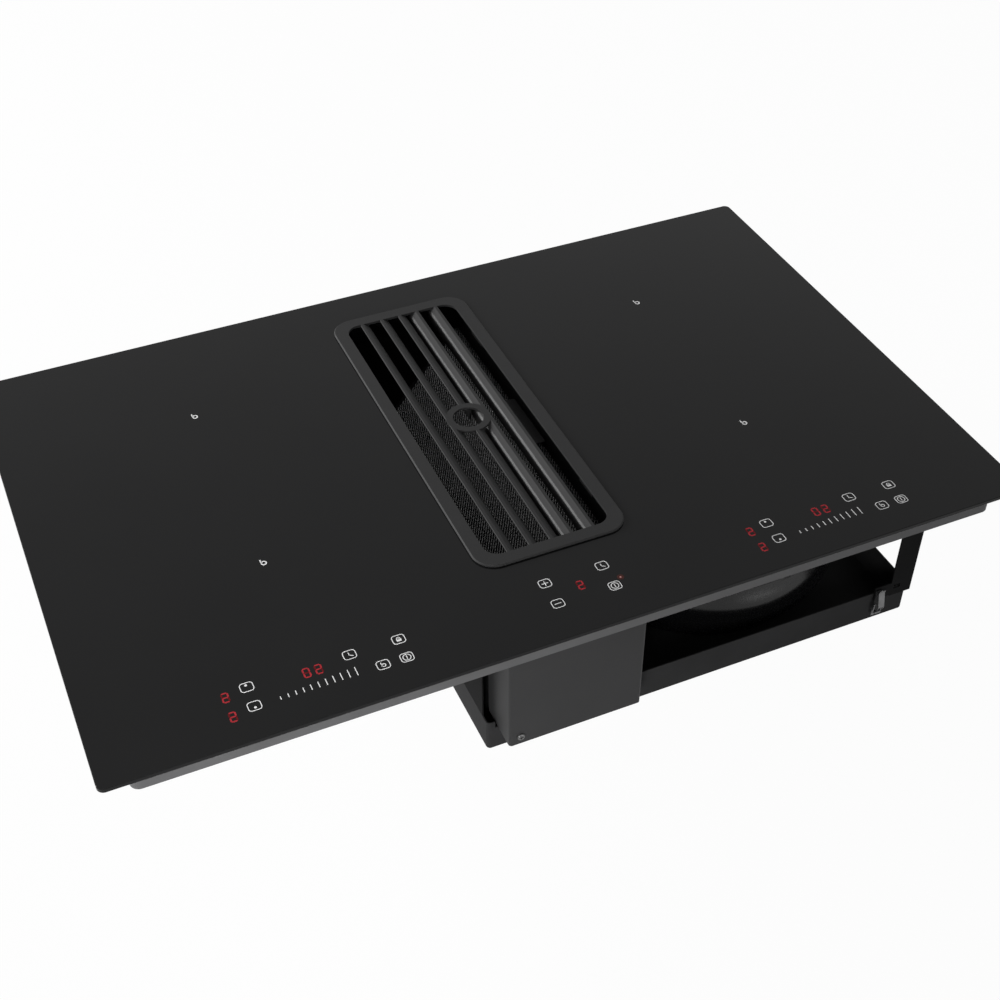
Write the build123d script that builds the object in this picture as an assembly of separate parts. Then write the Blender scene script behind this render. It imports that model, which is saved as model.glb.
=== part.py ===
"""Downdraft induction cooktop: a glass hob with a suction well in its middle and a fan below it.

All sizes are in millimetres. X runs to the right, Y to the back and Z up.
The origin is the centre of the footprint, on the surface that the lower tray stands on.
"""

from build123d import *
import math
import os

os.makedirs("parts", exist_ok=True)

# ---------------------------------------------------------------- driving dimensions

# Heights, from the surface up.
TOTAL_HEIGHT = 200.0
GRILLE_RISE = 2.5
GLASS_THICKNESS = 4.0
PAN_DEPTH = 22.0
SHEET = 1.2
PLASTIC = 2.0
GAP = 0.3

# Glass panel and its foam tape.
GLASS_WIDTH = 800.0
GLASS_DEPTH = 510.0
GLASS_CORNER = 6.0
GLASS_BEVEL = 0.5
SEAL_SET_IN = 3.5
SEAL_WIDTH = 6.0
SEAL_THICKNESS = 2.0

# Base pan under the glass.
PAN_WIDTH = 754.0
PAN_SET_BACK = 11.5
PAN_LENGTH = GLASS_DEPTH - 2 * PAN_SET_BACK
PAN_SHEET = 1.0
PAN_CORNER = 8.0

# Touch controls under the front edge of the glass; their places run back from that edge.
GLASS_FRONT = -GLASS_DEPTH / 2
TOUCH_SET_BACK = 19.0
TOUCH_DEPTH = 50.0
TOUCH_YS = (GLASS_FRONT + TOUCH_SET_BACK, GLASS_FRONT + TOUCH_SET_BACK + TOUCH_DEPTH)
TOUCH_HALF_WIDTH = 310.0
TOUCH_WALL = 2.0
BOARD_THICKNESS = 1.6
SIDE_BOARD_HALF = 80.0
MIDDLE_BOARD_HALF = 42.0
DISPLAY_HEIGHT = 2.5
SIDE_DISPLAYS = ((-68.6, 47.4), (-68.6, 27.3), (0.0, 46.8))
SIDE_KEYS = (
    (-51.2, 51.3),
    (-51.2, 31.3),
    (-31.2, 31.3),
    (-16.0, 31.3),
    (-1.0, 31.3),
    (14.0, 31.3),
    (29.0, 31.3),
    (30.0, 51.3),
    (50.0, 31.3),
    (70.0, 51.3),
    (69.2, 31.3),
)
MIDDLE_DISPLAYS = ((-0.3, 47.9),)
MIDDLE_KEYS = ((-25.8, 61.1), (-25.8, 36.6), (25.0, 61.1), (24.4, 36.4))
DISPLAY_SIZE = (14.0, 11.0)
KEY_PAD_RADIUS = 3.5

# Cooking zones: four coils on two plates, mirrored about the middle.
SIDES = {"left": -1, "right": 1}
ZONE_X = 224.6
ZONE_GAP = 18.3
ZONE_MARGIN_FRONT = 3.9
ZONE_MARGIN_REAR = 11.8
COIL_PLATE_THICKNESS = 1.5
COIL_PLATE_INNER_X = 80.0
COIL_PLATE_OUTER_X = 372.0
COIL_PLATE_GAP = 8.0
COIL_PLATE_MARGIN = 7.5
COIL_PLATE_YS = (TOUCH_YS[1] + COIL_PLATE_GAP, PAN_LENGTH / 2 - COIL_PLATE_MARGIN)
ZONE_ROOM = COIL_PLATE_YS[1] - COIL_PLATE_YS[0] - ZONE_MARGIN_FRONT - ZONE_MARGIN_REAR
FORMER_RADIUS = (ZONE_ROOM - ZONE_GAP) / 4
FORMER_BORE = 20.0
FORMER_HEIGHT = 1.5
ZONE_YS = {
    "front": COIL_PLATE_YS[0] + ZONE_MARGIN_FRONT + FORMER_RADIUS,
    "rear": COIL_PLATE_YS[1] - ZONE_MARGIN_REAR - FORMER_RADIUS,
}
FORMER_RIM = 3.0
COIL_RADIUS = FORMER_RADIUS - FORMER_RIM
COIL_BORE = 28.0
COIL_HEIGHT = 3.5
FERRITE_SET_IN = 4.0
FERRITE_LENGTH = COIL_RADIUS - COIL_BORE - 2 * FERRITE_SET_IN
FERRITE_WIDTH = 12.0
FERRITE_HEIGHT = 2.0
FERRITES_PER_COIL = 8
MICA_THICKNESS = 1.0
MICA_BORE = 8.0
SENSOR_RADIUS = 6.0
POST_RADIUS = 3.0
POST_INSET = 12.0

# Air grille, one casting that lies in the glass.
GRILLE_MARGIN_FRONT = 92.5
GRILLE_MARGIN_REAR = 42.5
GRILLE_Y = (GRILLE_MARGIN_FRONT - GRILLE_MARGIN_REAR) / 2
GRILLE_HALF_WIDTH = 68.5
GRILLE_HALF_LENGTH = (GLASS_DEPTH - GRILLE_MARGIN_FRONT - GRILLE_MARGIN_REAR) / 2
GRILLE_CORNER = 20.0
GRILLE_BEVEL = 1.0
GRILLE_RIM = 12.5
GRILLE_OPENING = (GRILLE_HALF_WIDTH - GRILLE_RIM, GRILLE_HALF_LENGTH - GRILLE_RIM)
GRILLE_OPENING_CORNER = 13.0
GRILLE_SKIRT = 4.5
GRILLE_LUG = 1.8
GRILLE_LUG_DEPTH = 8.0
GRILLE_LUG_HALF = 12.0
GRILLE_LUG_Y = 120.0
GRILLE_FOOT_STEP = 2.0
GRILLE_FOOT_HEIGHT = 0.7
GRILLE_SEAT = 0.1
VANE_TOP = 3.0
VANE_SHEET = 1.6
VANE_REACH = 6.3
VANE_DROP = 5.2
VANE_DEPTH = 14.0
VANE_FOLD = 0.62
VANE_EDGE = 0.35
VANES_LEANING_RIGHT = (-40.0, -20.0, -1.5)
VANES_LEANING_LEFT = (20.0, 40.0)
RING_Y = 25.5
RING_RADIUS = 20.3
RING_BORE = 14.0
RING_THICKNESS = 2.2

# Suction well below the grille and the hole for it in the glass.
GRILLE_LAP = 6.0
GLASS_HOLE = (GRILLE_HALF_WIDTH - GRILLE_LAP, GRILLE_HALF_LENGTH - GRILLE_LAP)
GLASS_HOLE_CORNER = 5.0
WELL_MARGIN = 1.5
WELL_HALF_WIDTH = GLASS_HOLE[0] + WELL_MARGIN
WELL_HALF_LENGTH = GLASS_HOLE[1] + WELL_MARGIN
WELL_FRONT = GRILLE_Y - WELL_HALF_LENGTH
WELL_BACK = GRILLE_Y + WELL_HALF_LENGTH
WELL_CORNER = 5.0
WELL_BOTTOM = 22.0
WELL_FLANGE = 8.0
WELL_FLANGE_THICKNESS = 2.0
WELL_SEAL_THICKNESS = 2.0
COLLAR_GAP = 2.0
COLLAR_LIP = 5.0
WINDOW_HALF = 103.0
WINDOW_SILL = 6.0
WINDOW_LINTEL = 6.5
DRAIN_RADIUS = 6.0
DRAIN_X = -30.0
DRAIN_INSET = 40.0

# Grease filter, a flat cassette that leans in the well.
FILTER_TOP_X = 57.5
FILTER_TOP_DROP = 29.4
FILTER_FOOT_X = -46.72
FILTER_FOOT_RISE = 22.07
FILTER_MARGIN = 6.0
FILTER_HALF_WIDTH = WELL_HALF_LENGTH - FILTER_MARGIN
FILTER_THICKNESS = 5.0
FILTER_RIM = 5.0
FILTER_RIM_SHEET = 0.8
GRIP_HALF_WIDTH = 34.5
GRIP_XS = (49.0, 60.5)
GRIP_LEG_X = 54.6
GRIP_DROP = 20.5
GRIP_CORNER = 2.0
GRIP_LEG_INSET = 4.0
LEDGE_START = 6.0
LEDGE_SIZE = 5.0
LEDGE_REACH = 9.0

# Lower tray, side plate and legs.
TRAY_XS = (-73.0, 363.5)
TRAY_AHEAD = 25.0
TRAY_BEHIND = 7.0
TRAY_YS = (WELL_FRONT - TRAY_AHEAD, WELL_BACK + TRAY_BEHIND)
TRAY_HEIGHT = 34.2
TRAY_CORNER = 4.0
TRAY_BEND = 2.0
TRAY_NOTCH_HALF = 65.5
TRAY_NOTCH_Z = 27.0
SIDE_PLATE_FRONT = 11.0
SIDE_PLATE_REAR = 10.0
SIDE_PLATE_YS = (TRAY_YS[0] + SIDE_PLATE_FRONT, TRAY_YS[1] - SIDE_PLATE_REAR)
SIDE_SCREW_INSET = 30.0
SIDE_SCREW_YS = (SIDE_PLATE_YS[0] + SIDE_SCREW_INSET, SIDE_PLATE_YS[1] - SIDE_SCREW_INSET)
SIDE_FLANGE = 15.0
TONGUE_HALF = 8.0
TONGUE_LAP = 16.0
LEG_XS = (343.0, 366.5)
LEG_BOTTOM = 25.5
LEG_FLANGE = 25.0
LEG_TONGUE_X = 325.0
LEG_TONGUE_ZS = (27.0, 42.0)
LEG_SLOT = ((346.5, 353.5), (34.0, 38.5))

# Fan below the well's right-hand side.
FAN_X = 218.0
FAN_SET_BACK = 156.0
FAN_Y = TRAY_YS[0] + FAN_SET_BACK
FAN_COVER_RADIUS = 131.0
FAN_RIM_RADIUS = 133.0
FAN_RIM_HEIGHT = 3.0
FAN_SEAM = 69.5
FAN_COVER_TOP = 118.0
FAN_WALL = 2.5
FAN_INLET_RADIUS = 75.0
BOWL_PROFILE = (
    (133.2, 66.0),
    (137.8, 52.0),
    (137.8, 40.0),
    (134.5, 20.0),
    (126.5, 8.0),
    (116.0, 3.5),
)
BOWL_BOTTOM = 3.5
MOTOR_FLANGE_RADIUS = 56.0
MOTOR_FLANGE_HEIGHT = 3.0
MOTOR_SCREW_RADIUS = 50.5
MOTOR_RADIUS = 45.0
MOTOR_TOP = 56.0
MOTOR_SHOULDER = 50.0
MOTOR_NECK_RADIUS = 27.0
MOTOR_SLOT = (10.0, 3.0, 6.0)
MOTOR_SLOTS = 18
BEARING_RADIUS = 11.0
BEARING_HEIGHT = 7.0
SHAFT_RADIUS = 4.0
SHAFT_CLEARANCE = 0.05
SHAFT_TOP = 84.0
IMPELLER_RADIUS = 97.0
IMPELLER_PLATE_Z = 60.0
IMPELLER_TOP = 108.0
BLADE_RIM = 1.0
BLADE_DEPTH = 18.0
BLADE_OUTER_RADIUS = IMPELLER_RADIUS - BLADE_RIM
BLADE_INNER_RADIUS = BLADE_OUTER_RADIUS - BLADE_DEPTH
BLADE_LEAD = 7.0
BLADE_BULGE = 3.2
BLADE_THICKNESS = 1.2
BLADE_COUNT = 36
IMPELLER_PLATE = 2.0
SHROUD_WIDTH = 9.0
SHROUD_THICKNESS = 2.5
HUB_RADIUS = 14.0
HUB_CONE_RADIUS = 40.0
HUB_CONE_HEIGHT = 12.0
INLET_LIP_DEPTH = 8.0
INLET_LIP_REACH = 6.0

# Air ways to and from the fan.
PLENUM_END_X = 342.0
PLENUM_HALF_WIDTH = 111.0
PLENUM_CORNER = 30.0
DUCT_HALF_WIDTH = 111.0
DUCT_SET_BACK = 147.0
DUCT_START_Y = FAN_Y + DUCT_SET_BACK
SPIGOT_TAPER = 75.0
SPIGOT_STRAIGHT_Y = DUCT_START_Y + SPIGOT_TAPER
SPIGOT_HALF_WIDTH = 108.5
SPIGOT_ZS = (43.5, 127.5)
SPIGOT_FLANGE = 4.0
SPIGOT_FLANGE_THICKNESS = 3.0
SPIGOT_BEAD = 2.0
SPIGOT_BEAD_WIDTH = 3.0

# Front cover over the fan's control board.
COVER_HALF_WIDTH = 63.5
COVER_AHEAD = 26.0
COVER_LAP = 19.0
COVER_YS = (TRAY_YS[0] - COVER_AHEAD, TRAY_YS[0] + COVER_LAP)
COVER_BOTTOM = 28.5
COVER_BEND = 3.0
COVER_FLANGE = 40.0
COVER_FLANGE_SCREW_X = 40.0
COVER_SCREW_X = -53.0
COVER_SCREW_Z = 38.0
CARRIER_HALF_WIDTH = 58.0
CARRIER_BOTTOM = 33.0
CARRIER_DROP = 6.5
CARRIER_THICKNESS = 3.0
BOSS_RADIUS = 5.0
BOSS_BORE_DEPTH = 12.0
CONTROL_BOARD_XS = (-44.0, 54.0)
CONTROL_BOARD_BOTTOM = 52.0
CONTROL_BOARD_DROP = 19.5
CONTROL_BOARD_STAND = 17.0
CONTROL_BOARD_Y = WELL_FRONT - CONTROL_BOARD_STAND
CONTROL_POST_INSET = 6.0
RELAY_SIZE = (16.0, 15.0, 20.0)
RELAY_XS = (-26.0, -4.0, 18.0)
RELAY_RISE = 22.0
BOARD_CAN = (9.0, 22.0)
BOARD_CAN_XS = (-30.0, 0.0, 30.0)
BOARD_CAN_DROP = 40.0
PLUG_STRIP_XS = (-36.0, 44.0)
PLUG_STRIP = (11.0, 9.0)
PLUG_STRIP_DROP = 16.0

# Toggle latches that hold the tray.
LATCH_X = 330.0
LATCH_SIDE_Y = 30.0
LATCH_PIVOT = (6.0, 20.0)
LATCH_LINK = (4.9, 23.4)
LATCH_PIN_RADIUS = 1.2
LATCH_BASE_HALF = 3.4
LATCH_BASE_ZS = (15.5, 37.5)
LATCH_SHEET = 1.0
EAR_INNER = 1.6
EAR_OUTER = 2.4
EAR_RADIUS = 1.9
EAR_ARM_BELOW = 0.8
LEVER_INNER = 2.6
LEVER_OUTER = 3.3
BAIL_HALF = 4.4
BAIL_WIRE = 0.7
BAIL_BOTTOM = (3.3, 11.2)
PIN_CLEARANCE = 0.05
PIN_END = 0.1
KEEPER_HALF = 3.4
# Outlines of (distance out of the tray's wall, height).
LEVER_CHEEK = (
    (8.6, 20.2),
    (8.6, 22.4),
    (5.4, 38.0),
    (4.6, 38.0),
    (3.1, 27.5),
    (3.1, 22.8),
    (4.2, 18.6),
    (6.0, 17.5),
    (7.8, 18.2),
)
LEVER_BACK = (
    (8.1, 21.6),
    (9.0, 21.6),
    (9.0, 22.6),
    (5.5, 38.4),
    (6.6, 40.2),
    (6.0, 40.7),
    (4.6, 38.7),
    (8.1, 22.4),
)
KEEPER_HOOK = (
    (0, 5.0),
    (1, 5.0),
    (1, 12.2),
    (4.6, 12.2),
    (4.6, 11.0),
    (5.6, 11.0),
    (5.6, 13.2),
    (0, 13.2),
)

# Electronics under the left half of the base pan.
BOX_XS = (-356.0, -102.0)
BOX_MARGIN = 37.5
BOX_HALF_LENGTH = PAN_LENGTH / 2 - BOX_MARGIN
BOX_YS = (-BOX_HALF_LENGTH, BOX_HALF_LENGTH)
BOX_DEPTH = 34.0
BOX_CORNER = 3.0
BOX_FLANGE = 10.0
BOARD_XS = (-346.0, -114.0)
BOARD_MARGIN = 8.0
BOARD_INNER_Y = 48.0
BOARD_YS = {
    "front": (BOX_YS[0] + BOARD_MARGIN, -BOARD_INNER_Y),
    "rear": (BOARD_INNER_Y, BOX_YS[1] - BOARD_MARGIN),
}
BOARD_RISE = 5.5
POWER_CAN = (13.0, 22.0)
POWER_CAN_X = -192.0
POWER_CAN_PITCH = 34.0
CHOKE = (16.0, 18.0)
CHOKE_X = -150.0
TRANSFORMER_XS = (-172.0, -130.0)
TRANSFORMER_YS = (10.0, 46.0)
TRANSFORMER_HEIGHT = 20.0
HEAT_SINK_SIZE = (112.0, 64.0, 22.0)
HEAT_SINK_START = 24.0
HEAT_SINK_FINS = 12
HEAT_SINK_FIN = 2.0
HEAT_SINK_BASE = 4.0
COOLING_FAN_X = -146.0
COOLING_FAN_HALF = 40.0
COOLING_FAN_HEIGHT = 20.0
COOLING_BORE = 38.0
COOLING_HUB = 14.0
COOLING_BLADES = 7
COOLING_CORNER = 4.0
COOLING_ARM = (4.0, 2.0)
COOLING_HUB_BASE = 3.0
COOLING_PIN_DROP = 4.0
COOLING_TIP_GAP = 1.5
COOLING_BLADE = (1.4, 15.0)
COOLING_TWIST = 48
TERMINAL_XS = (-344.0, -294.0)
TERMINAL_HALF = 22.0
TERMINAL_HEIGHT = 14.0
TERMINAL_STEP = 5.0
GLAND_RADIUS = 8.0
GLAND_RISE = 16.5
GLAND_WALL = 2.5
GLAND_COLLAR = 3.0
GLAND_OUTSIDE = 6.0
GLAND_INSIDE = 5.0
VENT_SLOTS = 7
VENT_PITCH = 9.0
VENT_WIDTH = 5.0
VENT_HALF_LENGTH = 30.0
LOUVRES = 10
LOUVRE_PITCH = 12.0
LOUVRE_WIDTH = 4.0
LOUVRE_HEIGHT = 16.0
LOUVRE_START = 36.0

# Screws.
SCREW_HEAD_RADIUS = 3.5
SCREW_HEAD_HEIGHT = 2.2
SCREW_RADIUS = 1.5
SCREW_LENGTH = 4.0
COVER_SCREW_LENGTH = 10.0
CROSS_DEPTH = 1.2
CROSS_WIDTH = 0.9

# ---------------------------------------------------------------- worked-out heights

GLASS_TOP = TOTAL_HEIGHT - GRILLE_RISE
GLASS_UNDER = GLASS_TOP - GLASS_THICKNESS
PAN_BOTTOM = GLASS_UNDER - PAN_DEPTH
PAN_FLOOR = PAN_BOTTOM + PAN_SHEET
WELL_FLANGE_TOP = GLASS_UNDER - WELL_SEAL_THICKNESS
WELL_FLANGE_UNDER = WELL_FLANGE_TOP - WELL_FLANGE_THICKNESS
MICA_UNDER = GLASS_UNDER - MICA_THICKNESS
COIL_UNDER = MICA_UNDER - COIL_HEIGHT
FORMER_UNDER = COIL_UNDER - FORMER_HEIGHT
COIL_PLATE_TOP = FORMER_UNDER - FERRITE_HEIGHT
COIL_PLATE_UNDER = COIL_PLATE_TOP - COIL_PLATE_THICKNESS
BOWL_FLOOR = BOWL_BOTTOM + FAN_WALL
MOTOR_BORE_FLOOR = 2 * BOWL_FLOOR
WINDOW_YS = (FAN_Y - WINDOW_HALF, FAN_Y + WINDOW_HALF)
WINDOW_ZS = (FAN_COVER_TOP + WINDOW_SILL, PAN_BOTTOM - WINDOW_LINTEL)
FILTER_TOP_Z = GLASS_TOP - FILTER_TOP_DROP
FILTER_RUN = FILTER_TOP_X - FILTER_FOOT_X
FILTER_FALL = FILTER_TOP_Z - WELL_BOTTOM - FILTER_FOOT_RISE
FILTER_SLOPE = math.atan2(FILTER_FALL, FILTER_RUN)
FILTER_LENGTH = math.hypot(FILTER_FALL, FILTER_RUN)
GRIP_Z = GLASS_TOP - GRIP_DROP
CARRIER_ZS = (CARRIER_BOTTOM, PAN_BOTTOM - CARRIER_DROP)
CONTROL_BOARD_ZS = (CONTROL_BOARD_BOTTOM, PAN_BOTTOM - CONTROL_BOARD_DROP)
BOX_BOTTOM = PAN_BOTTOM - BOX_DEPTH
BOX_FLOOR = BOX_BOTTOM + PAN_SHEET
BOARD_Z = BOX_BOTTOM + BOARD_RISE
GLAND_Z = BOX_BOTTOM + GLAND_RISE

FLANGE_SCREW_INSET = 6.0
BOX_SCREW_INSET = 56.0
COVER_SCREW_Y = COVER_YS[0] + COVER_FLANGE - FLANGE_SCREW_INSET
BOX_SCREW_Y = BOX_HALF_LENGTH - BOX_SCREW_INSET

# Screws that hang things from the base pan: x, y and the thickness of what they hold.
PAN_SCREWS = (
    (sum(LEG_XS) / 2, TRAY_YS[0] + LEG_FLANGE / 2, SHEET),
    (sum(LEG_XS) / 2, TRAY_YS[1] - LEG_FLANGE / 2, SHEET),
    (TRAY_XS[0] - SIDE_FLANGE / 2, SIDE_SCREW_YS[0], SHEET),
    (TRAY_XS[0] - SIDE_FLANGE / 2, sum(SIDE_SCREW_YS) / 2, SHEET),
    (TRAY_XS[0] - SIDE_FLANGE / 2, SIDE_SCREW_YS[1], SHEET),
    (-COVER_FLANGE_SCREW_X, COVER_SCREW_Y, SHEET),
    (COVER_FLANGE_SCREW_X, COVER_SCREW_Y, SHEET),
    (BOX_XS[0] - BOX_FLANGE / 2, -BOX_SCREW_Y, PAN_SHEET),
    (BOX_XS[0] - BOX_FLANGE / 2, BOX_SCREW_Y, PAN_SHEET),
    (BOX_XS[1] + BOX_FLANGE / 2, -BOX_SCREW_Y, PAN_SHEET),
    (BOX_XS[1] + BOX_FLANGE / 2, BOX_SCREW_Y, PAN_SHEET),
)

# Screws that go down through the base pan into the roof of the plenum.
ROOF_SCREW_XS = (90.0, 310.0)
ROOF_SCREW_HALF = 83.0
ROOF_SCREWS = [
    (x, FAN_Y + sign * ROOF_SCREW_HALF) for x in ROOF_SCREW_XS for sign in (-1, 1)
]


# ---------------------------------------------------------------- helpers


def block(xs, ys, zs):
    """Box between a low and a high limit along each axis."""
    limits = (xs, ys, zs)
    centre = [(low + high) / 2 for low, high in limits]
    return Pos(*centre) * Box(*[high - low for low, high in limits])


def slab(xs, ys, zs, radius):
    """Box with rounded upright corners."""
    outline = RectangleRounded(xs[1] - xs[0], ys[1] - ys[0], radius)
    centre = Pos((xs[0] + xs[1]) / 2, (ys[0] + ys[1]) / 2, zs[0])
    return centre * extrude(outline, zs[1] - zs[0])


def centred_slab(half_x, half_y, zs, radius, middle_y=0.0):
    """Rounded box that is symmetric about X = 0."""
    return slab((-half_x, half_x), (middle_y - half_y, middle_y + half_y), zs, radius)


def disc(x, y, zs, radius, bore=0.0):
    """Upright cylinder, with a bore where one is given."""
    shape = Pos(x, y, (zs[0] + zs[1]) / 2) * Cylinder(radius, zs[1] - zs[0])
    if bore:
        shape -= Pos(x, y, (zs[0] + zs[1]) / 2) * Cylinder(bore, zs[1] - zs[0] + 2)
    return shape


def rod(start, end, radius):
    """Round bar from one point to another."""
    path = Vector(*end) - Vector(*start)
    plane = Plane(origin=start, z_dir=path)
    return extrude(plane * Circle(radius), path.length)


def prism_along_y(points, ys):
    """Solid with an outline of (x, z) points, drawn along Y."""
    outline = make_face(Polyline(*[(x, ys[0], z) for x, z in points], close=True))
    return extrude(outline, ys[1] - ys[0], dir=(0, 1, 0))


def prism_along_x(points, xs):
    """Solid with an outline of (y, z) points, drawn along X."""
    outline = make_face(Polyline(*[(xs[0], y, z) for y, z in points], close=True))
    return extrude(outline, xs[1] - xs[0], dir=(1, 0, 0))


def save(node, *solids):
    """Writes one sub-part; several solids share its file."""
    shape = solids[0] if len(solids) == 1 else Compound(children=list(solids))
    export_step(shape, f"parts/{node}.step")


def screw(length):
    """Pan-head cross screw along +Z, its head's underside at the origin and its shank above it."""
    head = Pos(0, 0, -SCREW_HEAD_HEIGHT / 2) * Cylinder(SCREW_HEAD_RADIUS, SCREW_HEAD_HEIGHT)
    head = fillet(head.faces().sort_by(Axis.Z)[0].edges(), SCREW_HEAD_HEIGHT * 0.6)
    slot = Box(SCREW_HEAD_RADIUS * 1.1, CROSS_WIDTH, 2 * CROSS_DEPTH)
    head -= Pos(0, 0, -SCREW_HEAD_HEIGHT) * slot
    head -= Pos(0, 0, -SCREW_HEAD_HEIGHT) * Rot(0, 0, 90) * slot
    return head + Pos(0, 0, length / 2) * Cylinder(SCREW_RADIUS, length)


def screw_hole(x, y, zs):
    """Tool that clears a screw's shank through a sheet."""
    return disc(x, y, (zs[0] - 1, zs[1] + 1), SCREW_RADIUS)


# ---------------------------------------------------------------- glass, seal and base pan


def glass_panel():
    zs = (GLASS_UNDER, GLASS_TOP)
    panel = centred_slab(GLASS_WIDTH / 2, GLASS_DEPTH / 2, zs, GLASS_CORNER)
    rims = panel.faces().sort_by(Axis.Z)
    panel = chamfer(rims[0].edges() + rims[-1].edges(), GLASS_BEVEL)
    return panel - centred_slab(*GLASS_HOLE, zs, GLASS_HOLE_CORNER, GRILLE_Y)


def worktop_seal():
    half_x = GLASS_WIDTH / 2 - SEAL_SET_IN
    half_y = GLASS_DEPTH / 2 - SEAL_SET_IN
    zs = (GLASS_UNDER - SEAL_THICKNESS, GLASS_UNDER)
    tape = centred_slab(half_x, half_y, zs, GLASS_CORNER)
    return tape - centred_slab(half_x - SEAL_WIDTH, half_y - SEAL_WIDTH, zs, GLASS_CORNER / 2)


def base_pan():
    half_x = PAN_WIDTH / 2
    half_y = PAN_LENGTH / 2
    pan = centred_slab(half_x, half_y, (PAN_BOTTOM, GLASS_UNDER), PAN_CORNER)
    inside = centred_slab(
        half_x - PAN_SHEET, half_y - PAN_SHEET, (PAN_FLOOR, GLASS_UNDER), PAN_CORNER - PAN_SHEET
    )
    inner_x = WELL_HALF_WIDTH + COLLAR_GAP
    inner_y = WELL_HALF_LENGTH + COLLAR_GAP
    collar_zs = (PAN_BOTTOM, WELL_FLANGE_UNDER)
    corner = WELL_CORNER + COLLAR_GAP
    collar = centred_slab(
        inner_x + PAN_SHEET, inner_y + PAN_SHEET, collar_zs, corner + PAN_SHEET, GRILLE_Y
    )
    lip_zs = (WELL_FLANGE_UNDER - PAN_SHEET, WELL_FLANGE_UNDER)
    collar += centred_slab(
        inner_x + COLLAR_LIP, inner_y + COLLAR_LIP, lip_zs, corner + COLLAR_LIP, GRILLE_Y
    )
    pan = pan - inside + collar
    pan -= centred_slab(inner_x, inner_y, (PAN_BOTTOM, GLASS_UNDER), corner, GRILLE_Y)
    for x, y in [place[:2] for place in PAN_SCREWS] + list(ROOF_SCREWS):
        pan -= screw_hole(x, y, (PAN_BOTTOM, PAN_FLOOR))
    return pan


# ---------------------------------------------------------------- induction coils


def zone_places():
    """Name, x and y of each cooking zone."""
    return [
        (f"{side}_{row}", sign * ZONE_X, y)
        for side, sign in SIDES.items()
        for row, y in ZONE_YS.items()
    ]


def coil_plate(sign):
    xs = sorted((sign * COIL_PLATE_INNER_X, sign * COIL_PLATE_OUTER_X))
    return slab(xs, COIL_PLATE_YS, (COIL_PLATE_UNDER, COIL_PLATE_TOP), PAN_CORNER)


def plate_posts():
    posts = []
    for sign in SIDES.values():
        for x in (COIL_PLATE_INNER_X + POST_INSET, COIL_PLATE_OUTER_X - POST_INSET):
            for y in (COIL_PLATE_YS[0] + POST_INSET, COIL_PLATE_YS[1] - POST_INSET):
                posts.append(disc(sign * x, y, (PAN_FLOOR, COIL_PLATE_UNDER), POST_RADIUS))
    return posts


def ferrite_bars():
    bars = []
    height = COIL_PLATE_TOP + FERRITE_HEIGHT / 2
    reach = (COIL_BORE + COIL_RADIUS) / 2
    for _, x, y in zone_places():
        for step in range(FERRITES_PER_COIL):
            turn = Rot(0, 0, 360 * step / FERRITES_PER_COIL)
            bar = Pos(reach, 0, 0) * Box(FERRITE_LENGTH, FERRITE_WIDTH, FERRITE_HEIGHT)
            bars.append(Pos(x, y, height) * turn * bar)
    return bars


def coil_former(x, y):
    return disc(x, y, (FORMER_UNDER, COIL_UNDER), FORMER_RADIUS, FORMER_BORE)


def induction_coil(x, y):
    return disc(x, y, (COIL_UNDER, MICA_UNDER), COIL_RADIUS, COIL_BORE)


def mica_sheet(x, y):
    return disc(x, y, (MICA_UNDER, GLASS_UNDER), FORMER_RADIUS, MICA_BORE)


def zone_sensor(x, y):
    return disc(x, y, (COIL_PLATE_TOP, GLASS_UNDER), SENSOR_RADIUS)


# ---------------------------------------------------------------- touch controls


def touch_carrier():
    xs = (-TOUCH_HALF_WIDTH, TOUCH_HALF_WIDTH)
    top = GLASS_UNDER - DISPLAY_HEIGHT - BOARD_THICKNESS
    tray = block(xs, TOUCH_YS, (PAN_FLOOR, top))
    return tray - block(
        (xs[0] + TOUCH_WALL, xs[1] - TOUCH_WALL),
        (TOUCH_YS[0] + TOUCH_WALL, TOUCH_YS[1] - TOUCH_WALL),
        (PAN_FLOOR + TOUCH_WALL, top),
    )


def touch_board(centre_x, half_width, displays, keys):
    """Board with its digit displays and touch pads, which reach up to the glass."""
    under = GLASS_UNDER - DISPLAY_HEIGHT
    xs = (centre_x - half_width, centre_x + half_width)
    board = block(xs, TOUCH_YS, (under - BOARD_THICKNESS, under))
    for x, y in displays:
        module = Box(*DISPLAY_SIZE, DISPLAY_HEIGHT)
        board += Pos(centre_x + x, GLASS_FRONT + y, under + DISPLAY_HEIGHT / 2) * module
    for x, y in keys:
        board += disc(centre_x + x, GLASS_FRONT + y, (under, GLASS_UNDER), KEY_PAD_RADIUS)
    return board


# ---------------------------------------------------------------- air grille


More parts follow.
